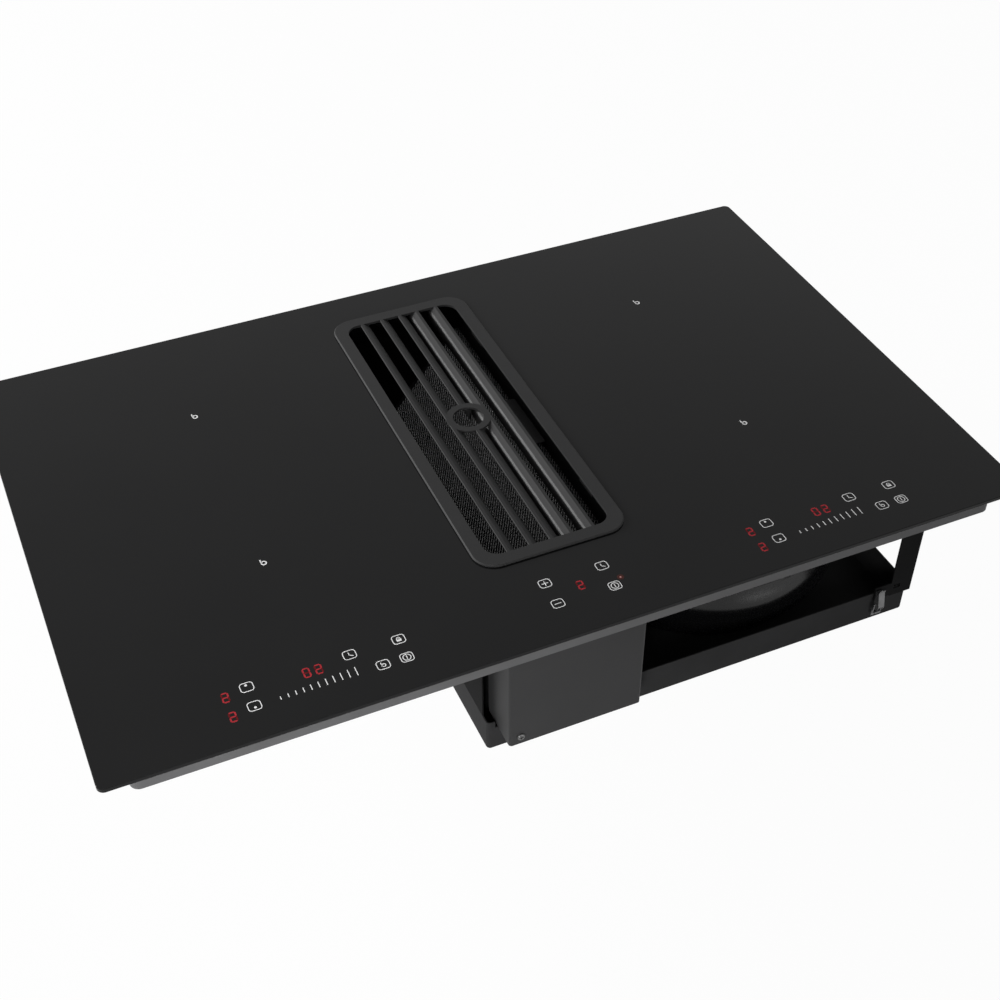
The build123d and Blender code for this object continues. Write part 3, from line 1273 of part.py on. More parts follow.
def terminal_block():
    """Row of screw terminals just inside the gland."""
    ys = (-TERMINAL_HALF, TERMINAL_HALF)
    top = BOX_FLOOR + TERMINAL_HEIGHT
    step_z = top - TERMINAL_STEP
    body = block(TERMINAL_XS, ys, (BOX_FLOOR, top))
    body -= block((TERMINAL_XS[0] + TERMINAL_HEIGHT, TERMINAL_XS[1]), ys, (step_z, top))
    screw_x = (TERMINAL_XS[0] + TERMINAL_HEIGHT + TERMINAL_XS[1]) / 2
    for step in (-1.5, -0.5, 0.5, 1.5):
        y = step * TERMINAL_HALF / 2
        body += disc(screw_x, y, (step_z, step_z + SCREW_HEAD_HEIGHT), SCREW_HEAD_RADIUS)
    return body


def board_corners():
    """Middle of each spacer under the two power boards."""
    xs = (BOARD_XS[0] + BOARD_MARGIN, BOARD_XS[1] - BOARD_MARGIN)
    return [
        (x, y)
        for ys in BOARD_YS.values()
        for x in xs
        for y in (ys[0] + BOARD_MARGIN, ys[1] - BOARD_MARGIN)
    ]


def board_spacers():
    return [disc(x, y, (BOX_FLOOR, BOARD_Z), POST_RADIUS) for x, y in board_corners()]


def heat_sink(ys):
    """Finned block along the middle of a power board."""
    length, width, height = HEAT_SINK_SIZE
    start_x = BOARD_XS[0] + HEAT_SINK_START
    start_y = sum(ys) / 2 - width / 2
    xs = (start_x, start_x + length)
    low = BOARD_Z + BOARD_THICKNESS
    base_top = low + HEAT_SINK_BASE
    sink = block(xs, (start_y, start_y + width), (low, base_top))
    pitch = (width - HEAT_SINK_FIN) / (HEAT_SINK_FINS - 1)
    for step in range(HEAT_SINK_FINS):
        y = start_y + step * pitch
        sink += block(xs, (y, y + HEAT_SINK_FIN), (base_top, low + height))
    return sink


def power_board(ys):
    """Board with its capacitors, choke and transformer beside the heat sink."""
    low = BOARD_Z + BOARD_THICKNESS
    middle = sum(ys) / 2
    board = block(BOARD_XS, ys, (BOARD_Z, low))
    can_radius, can_height = POWER_CAN
    for step in (-1, 0, 1):
        can_y = middle + step * POWER_CAN_PITCH
        board += disc(POWER_CAN_X, can_y, (low, low + can_height), can_radius)
    choke_radius, choke_height = CHOKE
    choke_y = middle - POWER_CAN_PITCH
    choke_zs = (low, low + choke_height)
    board += disc(CHOKE_X, choke_y, choke_zs, choke_radius, choke_radius / 3)
    core_ys = (middle + TRANSFORMER_YS[0], middle + TRANSFORMER_YS[1])
    return board + block(TRANSFORMER_XS, core_ys, (low, low + TRANSFORMER_HEIGHT))


def cooling_fan_frame():
    """Square frame with a round duct, and a hub on three arms that carries the rotor's pin."""
    half = COOLING_FAN_HALF
    zs = (BOX_FLOOR, BOX_FLOOR + COOLING_FAN_HEIGHT)
    x = COOLING_FAN_X
    frame = slab((x - half, x + half), (-half, half), zs, COOLING_CORNER)
    frame -= disc(x, 0, zs, COOLING_BORE)
    arm = Box(COOLING_BORE + COOLING_ARM[0] / 2, *COOLING_ARM)
    arm = Pos(COOLING_BORE / 2, 0, BOX_FLOOR + COOLING_ARM[1] / 2) * arm
    frame += [Pos(x, 0, 0) * Rot(0, 0, turn) * arm for turn in (30, 150, 270)]
    frame += disc(x, 0, (BOX_FLOOR, BOX_FLOOR + COOLING_HUB_BASE), COOLING_HUB)
    return frame + disc(x, 0, (BOX_FLOOR, zs[1] - COOLING_PIN_DROP), SCREW_RADIUS)


def cooling_fan_rotor():
    """Hub with twisted blades that turns on the frame's pin."""
    top = BOX_FLOOR + COOLING_FAN_HEIGHT
    low = BOX_FLOOR + COOLING_HUB_BASE + 2 * GAP
    high = top - 1
    root = COOLING_HUB - 2
    reach = COOLING_BORE - COOLING_TIP_GAP - root
    blade = Box(reach, *COOLING_BLADE)
    blade = Pos(root + reach / 2, 0, (low + high) / 2) * Rot(COOLING_TWIST, 0, 0) * blade
    rotor = disc(0, 0, (low, high), COOLING_HUB)
    rotor += [Rot(0, 0, 360 * step / COOLING_BLADES) * blade for step in range(COOLING_BLADES)]
    bore_zs = (low - 1, top - COOLING_PIN_DROP + 1)
    rotor -= disc(0, 0, bore_zs, SCREW_RADIUS + SHAFT_CLEARANCE)
    return Pos(COOLING_FAN_X, 0, 0) * rotor


# ---------------------------------------------------------------- screws


MOTOR_SCREWS = [
    (
        FAN_X + MOTOR_SCREW_RADIUS * math.cos(math.radians(turn)),
        FAN_Y + MOTOR_SCREW_RADIUS * math.sin(math.radians(turn)),
    )
    for turn in (30, 150, 270)
]


def cover_screw():
    place = Pos(COVER_SCREW_X, COVER_YS[0], COVER_SCREW_Z) * Rot(-90, 0, 0)
    return place * screw(COVER_SCREW_LENGTH)


def case_screws():
    """Screws up into the base pan, down into the plenum and down through the motor's flange."""
    turned = Rot(180, 0, 0) * screw(SCREW_LENGTH)
    screws = [Pos(x, y, PAN_BOTTOM - held) * screw(SCREW_LENGTH) for x, y, held in PAN_SCREWS]
    screws += [Pos(x, y, PAN_FLOOR) * turned for x, y in ROOF_SCREWS]
    flange_top = BOWL_FLOOR + MOTOR_FLANGE_HEIGHT
    return screws + [Pos(x, y, flange_top) * turned for x, y in MOTOR_SCREWS]


# ---------------------------------------------------------------- every piece

save("glass_panel", glass_panel())
save("worktop_seal", worktop_seal())
save("base_pan", base_pan())
for side, sign in SIDES.items():
    save(f"coil_plate_{side}", coil_plate(sign))
    save(f"touch_board_{side}", touch_board(sign * ZONE_X, SIDE_BOARD_HALF, SIDE_DISPLAYS, SIDE_KEYS))
for zone, x, y in zone_places():
    save(f"induction_coil_{zone}", induction_coil(x, y))
save("plate_posts", *plate_posts())
save("ferrite_bars", *ferrite_bars())
save("coil_formers", *[coil_former(x, y) for _, x, y in zone_places()])
save("mica_sheets", *[mica_sheet(x, y) for _, x, y in zone_places()])
save("zone_sensors", *[zone_sensor(x, y) for _, x, y in zone_places()])
save("touch_board_middle", touch_board(0.0, MIDDLE_BOARD_HALF, MIDDLE_DISPLAYS, MIDDLE_KEYS))
save("touch_carrier", touch_carrier())
save("air_grille", air_grille())
save("filter_frame", filter_frame())
save("filter_mesh", filter_mesh())
save("filter_grip", filter_grip())
save("suction_well", suction_well())
save("well_seal", well_seal())
save("intake_plenum", intake_plenum())
save("fan_cover", fan_cover())
save("fan_bowl", fan_bowl())
save("fan_impeller", fan_impeller())
save("fan_shaft", fan_shaft())
save("fan_motor", fan_motor())
save("motor_bearings", *motor_bearings())
save("outlet_spigot", outlet_spigot())
save("lower_tray", lower_tray())
save("left_side_plate", left_side_plate())
save("right_front_leg", right_leg(TRAY_YS[0], -1))
save("right_rear_leg", right_leg(TRAY_YS[1], 1))
save("front_cover", front_cover())
save("cover_screw", cover_screw())
save("board_carrier", board_carrier())
save("fan_control_board", fan_control_board())
for name, place in LATCH_PLACES.items():
    save(f"latch_lever_{name}", place * latch_lever())
    save(f"latch_bail_{name}", place * latch_bail())
save("latch_bases", *[place * latch_base() for place in LATCH_PLACES.values()])
save("latch_pins", *[place * latch_pin() for place in LATCH_PLACES.values()])
save("latch_keepers", *[place * latch_keeper() for place in LATCH_PLACES.values()])
save("electronics_box", electronics_box())
save("cable_gland", cable_gland())
save("terminal_block", terminal_block())
save("board_spacers", *board_spacers())
for row, ys in BOARD_YS.items():
    save(f"power_board_{row}", power_board(ys))
    save(f"heat_sink_{row}", heat_sink(ys))
save("cooling_fan_frame", cooling_fan_frame())
save("cooling_fan_rotor", cooling_fan_rotor())
save("case_screws", *case_screws())
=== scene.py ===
"""Looks of the downdraft induction cooktop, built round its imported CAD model.

Everything is in metres, in the frame of the CAD model: X to the right, Y to the back, Z up.
"""

import math

import bmesh
import bpy
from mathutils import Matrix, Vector


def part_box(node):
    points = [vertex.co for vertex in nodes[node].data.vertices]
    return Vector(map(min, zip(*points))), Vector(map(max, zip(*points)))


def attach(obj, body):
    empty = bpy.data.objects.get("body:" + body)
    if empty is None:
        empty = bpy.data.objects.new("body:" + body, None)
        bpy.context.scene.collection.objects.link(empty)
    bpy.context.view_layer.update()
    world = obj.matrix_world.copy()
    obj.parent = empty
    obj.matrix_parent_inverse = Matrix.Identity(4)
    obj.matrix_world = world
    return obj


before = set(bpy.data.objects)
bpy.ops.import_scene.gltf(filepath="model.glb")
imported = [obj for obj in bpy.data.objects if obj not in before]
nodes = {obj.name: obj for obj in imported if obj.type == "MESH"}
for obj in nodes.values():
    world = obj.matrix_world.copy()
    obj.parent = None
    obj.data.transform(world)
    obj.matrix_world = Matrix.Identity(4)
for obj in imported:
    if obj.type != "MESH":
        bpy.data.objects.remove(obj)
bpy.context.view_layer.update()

MM = 0.001
GLASS_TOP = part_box("glass_panel")[1].z
GRILLE_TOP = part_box("air_grille")[1].z
# The flange round the vanes is 2.5 mm thick, and the vanes start 3 mm below its top.
FLANGE_DEPTH = 2.6 * MM
# Printed boards are 1.6 mm thick; what stands on them starts just above.
BOARD_DEPTH = 1.7 * MM
# Share by which the grain makes a surface rougher or smoother.
GLOSS_SPREAD = 0.12

# ---------------------------------------------------------------- camera

CAMERA_PLACE = (-0.40394, -0.96877, 1.04740)
CAMERA_YAW = 23.867
CAMERA_PITCH = 42.957
CAMERA_LENS = 54.49
CAMERA_SHIFT = (-0.005, 0.040)

camera_data = bpy.data.cameras.new("camera")
camera_data.sensor_fit = "HORIZONTAL"
camera_data.sensor_width = 36.0
camera_data.lens = CAMERA_LENS
camera_data.shift_x, camera_data.shift_y = CAMERA_SHIFT
camera_data.clip_start = 0.05
camera_data.clip_end = 30.0
camera = bpy.data.objects.new("camera", camera_data)
camera.location = CAMERA_PLACE
camera.rotation_euler = (math.radians(90 - CAMERA_PITCH), 0.0, -math.radians(CAMERA_YAW))
bpy.context.scene.collection.objects.link(camera)
bpy.context.scene.camera = camera
bpy.context.scene.view_settings.view_transform = "Standard"


# ---------------------------------------------------------------- node helpers


def new_material(name):
    """Empty node material; returns it with its tree, shader and object coordinates."""
    material = bpy.data.materials.new(name)
    material.use_nodes = True
    tree = material.node_tree
    shader = tree.nodes["Principled BSDF"]
    coordinates = tree.nodes.new("ShaderNodeTexCoord").outputs["Object"]
    return material, tree, shader, coordinates


def stretched(tree, coordinates, scale):
    """Coordinates times a scale per axis, in repeats per metre."""
    mapping = tree.nodes.new("ShaderNodeMapping")
    mapping.inputs["Scale"].default_value = scale
    tree.links.new(coordinates, mapping.inputs["Vector"])
    return mapping.outputs["Vector"]


def noise(tree, coordinates, scale, detail=3.0, roughness=0.5):
    """Cloudy values round 0.5, with a scale per axis in repeats per metre."""
    texture = tree.nodes.new("ShaderNodeTexNoise")
    texture.inputs["Scale"].default_value = 1.0
    texture.inputs["Detail"].default_value = detail
    texture.inputs["Roughness"].default_value = roughness
    tree.links.new(stretched(tree, coordinates, scale), texture.inputs["Vector"])
    return texture.outputs["Fac"]


def remap(tree, value, low, high, start=0.3, end=0.7):
    """Value from start..end to low..high."""
    node = tree.nodes.new("ShaderNodeMapRange")
    node.inputs["From Min"].default_value = start
    node.inputs["From Max"].default_value = end
    node.inputs["To Min"].default_value = low
    node.inputs["To Max"].default_value = high
    tree.links.new(value, node.inputs["Value"])
    return node.outputs["Result"]


def mixed(tree, factor, first, second):
    """Colour between two colours; each is a tuple or a socket."""
    node = tree.nodes.new("ShaderNodeMix")
    node.data_type = "RGBA"
    tree.links.new(factor, node.inputs["Factor"])
    for key, value in (("A", first), ("B", second)):
        socket = [s for s in node.inputs if s.name == key and s.type == "RGBA"][0]
        if isinstance(value, tuple):
            socket.default_value = (*value, 1.0)
        else:
            tree.links.new(value, socket)
    return [s for s in node.outputs if s.type == "RGBA"][0]


def calculate(tree, operation, *values):
    """Result of a math node; each value is a number or a socket."""
    node = tree.nodes.new("ShaderNodeMath")
    node.operation = operation
    for socket, value in zip(node.inputs, values):
        if isinstance(value, (int, float)):
            socket.default_value = value
        else:
            tree.links.new(value, socket)
    return node.outputs["Value"]


def along_axis(tree, coordinates, axis):
    split = tree.nodes.new("ShaderNodeSeparateXYZ")
    tree.links.new(coordinates, split.inputs["Vector"])
    return split.outputs[axis]


def add_bump(tree, shader, height, strength, distance):
    """Surface relief from a height between 0 and 1, with a distance in metres."""
    node = tree.nodes.new("ShaderNodeBump")
    node.inputs["Strength"].default_value = strength
    node.inputs["Distance"].default_value = distance
    tree.links.new(height, node.inputs["Height"])
    tree.links.new(node.outputs["Normal"], shader.inputs["Normal"])


def shade(color, factor):
    """The colour made lighter or darker."""
    return tuple(min(1.0, c * factor) for c in color)


def surface(
    name,
    color,
    rough,
    metallic=0.0,
    specular=0.5,
    mottle=(60, 60, 60),
    variation=0.08,
    grain=(1500, 1500, 1500),
    grain_strength=0.1,
    grain_depth=0.00005,
):
    """Painted, moulded or metal surface with mottled colour, uneven gloss and a fine grain."""
    material, tree, shader, coordinates = new_material(name)
    cloud = noise(tree, coordinates, mottle, detail=4.0)
    factor = remap(tree, cloud, 0.0, 1.0)
    tint = mixed(tree, factor, shade(color, 1 - variation), shade(color, 1 + variation))
    tree.links.new(tint, shader.inputs["Base Color"])
    fine = noise(tree, coordinates, grain, detail=2.0, roughness=0.6)
    uneven = remap(tree, fine, rough * (1 - GLOSS_SPREAD), rough * (1 + GLOSS_SPREAD))
    tree.links.new(uneven, shader.inputs["Roughness"])
    shader.inputs["Metallic"].default_value = metallic
    shader.inputs["Specular IOR Level"].default_value = specular
    add_bump(tree, shader, fine, grain_strength, grain_depth)
    return material


def roughen_above(material, height, factor):
    """Multiplies the roughness of the surface above a height."""
    tree = material.node_tree
    roughness = tree.nodes["Principled BSDF"].inputs["Roughness"]
    coordinates = tree.nodes.new("ShaderNodeTexCoord").outputs["Object"]
    level = along_axis(tree, coordinates, "Z")
    share = remap(tree, level, 1.0, factor, height - 0.2 * MM, height)
    rough = calculate(tree, "MULTIPLY", roughness.links[0].from_socket, share)
    tree.links.new(rough, roughness)


def dress(material, *names):
    """Gives CAD nodes a material on all their slots."""
    for name in names:
        for slot in nodes[name].material_slots:
            slot.material = material


# ---------------------------------------------------------------- materials

GLASS = surface(
    "glass_ceramic", (0.0074, 0.0074, 0.0076), 0.10, specular=0.1, mottle=(9, 9, 9), variation=0.05,
    grain=(900, 900, 900), grain_strength=0.015, grain_depth=0.00001,
)
FOAM = surface(
    "foam_tape", (0.02, 0.02, 0.021), 0.9, mottle=(300, 300, 300), variation=0.3,
    grain=(2200, 2200, 2200), grain_strength=0.5, grain_depth=0.0003,
)
PAN = surface(
    "zinc_pan", (0.088, 0.088, 0.0895), 0.5, specular=0.1, mottle=(35, 35, 35), variation=0.05,
    grain=(400, 400, 2500), grain_strength=0.06,
)
GRILLE = surface(
    "satin_casting", (0.0108, 0.0108, 0.011), 0.42, specular=0.22, mottle=(45, 45, 45),
    variation=0.06, grain=(2600, 2600, 2600), grain_strength=0.12,
)
# The flange is blasted, and the vanes below it are smoother.
roughen_above(GRILLE, GRILLE_TOP - FLANGE_DEPTH, 1.6)
FILTER_RIM = surface(
    "filter_rim", (0.045, 0.045, 0.046), 0.4, metallic=0.3, specular=0.25, mottle=(90, 90, 90),
    variation=0.12, grain=(3000, 200, 3000), grain_strength=0.1,
)
MESH_WIRE = surface(
    "mesh_wire", (0.24, 0.24, 0.24), 0.4, metallic=0.5, mottle=(200, 200, 200), variation=0.2,
    grain=(3500, 3500, 3500), grain_strength=0.15,
)
BLACK_PLASTIC = surface(
    "black_plastic", (0.006, 0.006, 0.0062), 0.5, specular=0.15, mottle=(50, 50, 50),
    variation=0.15, grain=(1800, 1800, 1800), grain_strength=0.2,
)
WELL = surface(
    "well_plastic", (0.004, 0.004, 0.0042), 0.55, specular=0.05, mottle=(50, 50, 50),
    variation=0.15, grain=(1800, 1800, 1800), grain_strength=0.2,
)
GLOSS = surface(
    "gloss_housing", (0.002, 0.002, 0.0022), 0.27, specular=0.29, mottle=(20, 20, 20),
    variation=0.1, grain=(500, 500, 500), grain_strength=0.008,
)
TRAY = surface(
    "tray_sheet", (0.026, 0.026, 0.0265), 0.6, specular=0.015, mottle=(30, 30, 30), variation=0.08,
    grain=(1700, 1700, 1700), grain_strength=0.12,
)
# A darker copy of the tray's sheet for the legs and the left side plate; the extra darkness is
# painted shade.
SHADED_SHEET = surface(
    "shaded_sheet", (0.009, 0.009, 0.0092), 0.6, specular=0.01, mottle=(30, 30, 30), variation=0.08,
    grain=(1700, 1700, 1700), grain_strength=0.12,
)
COVER = surface(
    "cover_sheet", (0.029, 0.029, 0.0295), 0.5, specular=0.08, mottle=(25, 25, 25), variation=0.04,
    grain=(1700, 1700, 1700), grain_strength=0.08,
)
BOX = surface(
    "zinc_box", (0.42, 0.42, 0.43), 0.4, metallic=0.9, mottle=(70, 70, 70), variation=0.1,
    grain=(500, 500, 500), grain_strength=0.1,
)
BRIGHT = surface(
    "bright_steel", (0.55, 0.55, 0.56), 0.24, metallic=1.0, mottle=(150, 150, 150), variation=0.08,
    grain=(300, 300, 4000), grain_strength=0.12,
)
SHAFT_STEEL = surface(
    "ground_steel", (0.5, 0.5, 0.51), 0.2, metallic=1.0, mottle=(200, 200, 200), variation=0.05,
    grain=(300, 300, 5000), grain_strength=0.15,
)
ALUMINIUM = surface(
    "mill_aluminium", (0.6, 0.6, 0.61), 0.35, metallic=1.0, mottle=(25, 25, 25), variation=0.06,
    grain=(80, 3500, 3500), grain_strength=0.15,
)
FERRITE = surface(
    "ferrite", (0.05, 0.05, 0.053), 0.7, mottle=(300, 300, 300), variation=0.2,
    grain=(2500, 2500, 2500), grain_strength=0.3, grain_depth=0.0001,
)
GREY_PLASTIC = surface(
    "grey_plastic", (0.07, 0.07, 0.072), 0.55, mottle=(60, 60, 60), variation=0.1,
    grain=(1500, 1500, 1500), grain_strength=0.25,
)
MICA = surface(
    "mica", (0.5, 0.43, 0.31), 0.4, mottle=(250, 250, 250), variation=0.3,
    grain=(900, 900, 900), grain_strength=0.3, grain_depth=0.0001,
)
MOTOR = surface(
    "motor_paint", (0.03, 0.03, 0.031), 0.4, mottle=(60, 60, 60), variation=0.1,
    grain=(1200, 1200, 1200), grain_strength=0.15,
)
BRASS = surface(
    "nickel_bush", (0.45, 0.43, 0.38), 0.3, metallic=1.0, mottle=(100, 100, 100), variation=0.1,
    grain=(2000, 300, 300), grain_strength=0.15,
)
PRINT = surface(
    "printed_mark", (0.7, 0.7, 0.7), 0.45, mottle=(900, 900, 900), variation=0.12,
    grain=(6000, 6000, 6000), grain_strength=0.1,
)


def winding_material():
    """Copper strand in a flat spiral round each zone's centre; painted shade in its grooves,
    painted highlight on its crests.
    """
    strand_pitch = 3.2 * MM
    material, tree, shader, coordinates = new_material("litz_copper")
    zones = [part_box(n) for n in nodes if n.startswith("induction_coil")]
    centre_x = sum(abs((low.x + high.x) / 2) for low, high in zones) / len(zones)
    rows = sorted({round((low.y + high.y) / 2, 4) for low, high in zones})
    middle = sum(rows) / 2
    half_pitch = (rows[1] - rows[0]) / 2

    def from_centre(axis, start, distance):
        """Distance from a zone's centre on one axis, the same in the zones on both sides."""
        place = calculate(tree, "SUBTRACT", along_axis(tree, coordinates, axis), start)
        return calculate(tree, "SUBTRACT", calculate(tree, "ABSOLUTE", place), distance)

    across = from_centre("X", 0.0, centre_x)
    along = from_centre("Y", middle, half_pitch)
    squares = [calculate(tree, "MULTIPLY", value, value) for value in (across, along)]
    radius = calculate(tree, "SQRT", calculate(tree, "ADD", *squares))
    ring = calculate(tree, "SINE", calculate(tree, "MULTIPLY", radius, 2 * math.pi / strand_pitch))
    # The colour follows the rings of the bump: darker in the grooves between turns as painted
    # shade, lighter on the crests as painted highlight.
    tint = mixed(tree, remap(tree, ring, 0, 1, -1, 1), (0.22, 0.09, 0.04), (0.75, 0.36, 0.18))
    tree.links.new(tint, shader.inputs["Base Color"])
    shader.inputs["Metallic"].default_value = 0.9
    strand = noise(tree, coordinates, (2500, 2500, 2500))
    tree.links.new(remap(tree, strand, 0.3, 0.5), shader.inputs["Roughness"])
    add_bump(tree, shader, ring, 0.8, 0.0008)
    return material


def board_material(name, axis, level):
    """Green lacquered board below a level on an axis, and dark components above it."""
    material, tree, shader, coordinates = new_material(name)
    tracks = tree.nodes.new("ShaderNodeTexBrick")
    tracks.inputs["Color1"].default_value = (0.01, 0.10, 0.04, 1)
    tracks.inputs["Color2"].default_value = (0.012, 0.13, 0.05, 1)
    tracks.inputs["Mortar"].default_value = (0.02, 0.19, 0.08, 1)
    tracks.inputs["Scale"].default_value = 1.0
    tracks.inputs["Mortar Size"].default_value = 0.06
    tracks.inputs["Brick Width"].default_value = 2.3
    tracks.inputs["Row Height"].default_value = 0.7
    tree.links.new(stretched(tree, coordinates, (180, 180, 180)), tracks.inputs["Vector"])
    parts = noise(tree, coordinates, (40, 40, 40))
    part_tint = mixed(tree, remap(tree, parts, 0, 1), (0.015, 0.015, 0.018), (0.12, 0.12, 0.13))
    above = calculate(tree, "GREATER_THAN", along_axis(tree, coordinates, axis), level)
    tint = mixed(tree, above, tracks.outputs["Color"], part_tint)
    tree.links.new(tint, shader.inputs["Base Color"])
    fine = noise(tree, coordinates, (1500, 1500, 1500))
    tree.links.new(remap(tree, fine, 0.28, 0.42), shader.inputs["Roughness"])
    add_bump(tree, shader, tracks.outputs["Fac"], 0.3, 0.00008)
    return material


def led_material(name, low, high):
    """Red plastic that glows a little and unevenly, between two colours."""
    material, tree, shader, coordinates = new_material(name)
    cloud = noise(tree, coordinates, (700, 700, 700))
    tint = mixed(tree, remap(tree, cloud, 0, 1), low, high)
    tree.links.new(tint, shader.inputs["Base Color"])
    tree.links.new(tint, shader.inputs["Emission Color"])
    shader.inputs["Emission Strength"].default_value = 0.35
    shader.inputs["Specular IOR Level"].default_value = 0.05
    shader.inputs["Roughness"].default_value = 0.4
    return material


# Dim red colour without emission, for the unlit segments and for the ring of painted glow round the
# lamp.
def dim_led_material(name, color):
    return surface(
        name, color, 0.4, specular=0.05, mottle=(700, 700, 700), variation=0.15,
        grain=(3000, 3000, 3000), grain_strength=0.05,
    )


LED = led_material("led_red", (0.2, 0.014, 0.019), (0.28, 0.022, 0.028))
LED_CORE = led_material("led_core", (0.28, 0.13, 0.125), (0.34, 0.16, 0.15))
LED_OFF = dim_led_material("led_unlit", (0.1, 0.006, 0.008))
# Painted red glow for the ring round the lamp dot; it does not shine.
PAINTED_GLOW = dim_led_material("painted_led_glow", (0.052, 0.019, 0.016))
LATCH = surface(
    "latch_steel", (0.12, 0.12, 0.122), 0.42, metallic=0.7, mottle=(150, 150, 150), variation=0.1,
    grain=(300, 300, 4000), grain_strength=0.12,
)
COVER_SCREW = surface(
    "plated_screw", (0.12, 0.12, 0.12), 0.35, metallic=0.7, mottle=(300, 300, 300), variation=0.15,
    grain=(2500, 2500, 2500), grain_strength=0.1,
)

dress(GLASS, "glass_panel")
dress(FOAM, "worktop_seal", "well_seal")
dress(PAN, "base_pan")
dress(ALUMINIUM, "coil_plate_left", "coil_plate_right", "heat_sink_front", "heat_sink_rear")
dress(winding_material(), *[n for n in nodes if n.startswith("induction_coil")])
dress(FERRITE, "ferrite_bars")
dress(GREY_PLASTIC, "coil_formers", "touch_carrier", "board_carrier", "board_spacers")
dress(GREY_PLASTIC, "terminal_block", "cooling_fan_frame")
dress(MICA, "mica_sheets")
dress(BRIGHT, "case_screws")
dress(COVER_SCREW, "cover_screw")
dress(LATCH, *[n for n in nodes if n.startswith("latch_")])
dress(SHAFT_STEEL, "fan_shaft", "motor_bearings", "plate_posts", "zone_sensors")
touch_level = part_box("touch_board_middle")[0].z + BOARD_DEPTH
dress(
    board_material("touch_boards", "Z", touch_level),
    "touch_board_left", "touch_board_middle", "touch_board_right",
)
power_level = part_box("power_board_front")[0].z + BOARD_DEPTH
dress(board_material("power_boards", "Z", power_level), "power_board_front", "power_board_rear")
control_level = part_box("fan_control_board")[1].y - BOARD_DEPTH
dress(board_material("control_board", "Y", control_level), "fan_control_board")
dress(GRILLE, "air_grille")
dress(FILTER_RIM, "filter_frame", "filter_grip")
dress(WELL, "suction_well")
dress(BLACK_PLASTIC, "intake_plenum", "fan_cover", "outlet_spigot")
dress(BLACK_PLASTIC, "fan_impeller", "cooling_fan_rotor")
dress(BRASS, "cable_gland")
dress(GLOSS, "fan_bowl")
dress(MOTOR, "fan_motor")
dress(TRAY, "lower_tray")
dress(SHADED_SHEET, "right_front_leg", "right_rear_leg", "left_side_plate")
dress(COVER, "front_cover")
dress(BOX, "electronics_box")


# ---------------------------------------------------------------- printed marks and digits
# Outlines, places and line widths on the glass are in millimetres.

PRINT_RISE = 0.04 * MM
PRINT_SINK = 0.02 * MM


def flat_piece(name, material, body):
    """Starts a flat piece that rides on a body; returns it and its mesh to fill."""
    piece = bpy.data.objects.new(name, bpy.data.meshes.new(name))
    bpy.context.scene.collection.objects.link(piece)
    piece.data.materials.append(material)
    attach(piece, body)
    return piece, bmesh.new()


def finish_piece(piece, mesh):
    """Gives the filled mesh to its piece."""
    bmesh.ops.recalc_face_normals(mesh, faces=mesh.faces)
    mesh.to_mesh(piece.data)
    mesh.free()


def prism(mesh, outline, hole=None):
    """Thin plate on the glass with an outline, and a hole with as many points."""
    high = GLASS_TOP + PRINT_RISE
    low = GLASS_TOP - PRINT_SINK
    count = len(outline)

    def ring(points, z):
        return [mesh.verts.new((x * MM, y * MM, z)) for x, y in points]

    top = ring(outline, high)
    bottom = ring(outline, low)
    for i in range(count):
        j = (i + 1) % count
        mesh.faces.new((bottom[i], bottom[j], top[j], top[i]))
    if hole is None:
        mesh.faces.new(top)
        mesh.faces.new(bottom[::-1])
        return
    top_hole = ring(hole, high)
    bottom_hole = ring(hole, low)
    for i in range(count):
        j = (i + 1) % count
        mesh.faces.new((top[i], top[j], top_hole[j], top_hole[i]))
        mesh.faces.new((bottom[j], bottom[i], bottom_hole[i], bottom_hole[j]))
        mesh.faces.new((bottom_hole[j], bottom_hole[i], top_hole[i], top_hole[j]))


def rounded(x, y, width, height, radius, steps=5):
    """Outline of a rounded rectangle round a centre."""
    points = []
    for turn, sx, sy in ((0, 1, 1), (90, -1, 1), (180, -1, -1), (270, 1, -1)):
        for step in range(steps + 1):
            angle = math.radians(turn + 90 * step / steps)
            point_x = x + sx * (width / 2 - radius) + radius * math.cos(angle)
            point_y = y + sy * (height / 2 - radius) + radius * math.sin(angle)
            points.append((point_x, point_y))
    return points


def round_dot(mesh, x, y, radius):
    prism(mesh, rounded(x, y, 2 * radius, 2 * radius, radius, 6))


def hoop(mesh, x, y, radius, line):
    """Ring with a middle radius and a line width."""
    outer = rounded(x, y, 2 * radius + line, 2 * radius + line, radius + line / 2, 6)
    inner = rounded(x, y, 2 * radius - line, 2 * radius - line, radius - line / 2, 6)
    prism(mesh, outer, inner)


def bar(mesh, start, end, line):
    """Straight stroke with square ends."""
    (x0, y0), (x1, y1) = start, end
    length = math.hypot(x1 - x0, y1 - y0)
    side_x = (y0 - y1) / length * line / 2
    side_y = (x1 - x0) / length * line / 2
    prism(mesh, [(x0 - side_x, y0 - side_y), (x1 - side_x, y1 - side_y),
                 (x1 + side_x, y1 + side_y), (x0 + side_x, y0 + side_y)])


KEY_LINE = 0.66
SYMBOL_LINE = 0.7
KEY_DOT = 1.05
KEY_ARM = 2.9
KEY_WIDTH = 10.0
KEY_HEIGHT = 8.8
KEY_CORNER = 2.4


def key(mesh, x, y):
    """Rounded frame of a key."""
    outer = rounded(
        x, y, KEY_WIDTH + KEY_LINE, KEY_HEIGHT + KEY_LINE, KEY_CORNER + KEY_LINE / 2
    )
    inner = rounded(
        x, y, KEY_WIDTH - KEY_LINE, KEY_HEIGHT - KEY_LINE, KEY_CORNER - KEY_LINE / 2
    )
    prism(mesh, outer, inner)


def key_dot_high(mesh, x, y):
    round_dot(mesh, x - 0.2, y + 1.9, KEY_DOT)


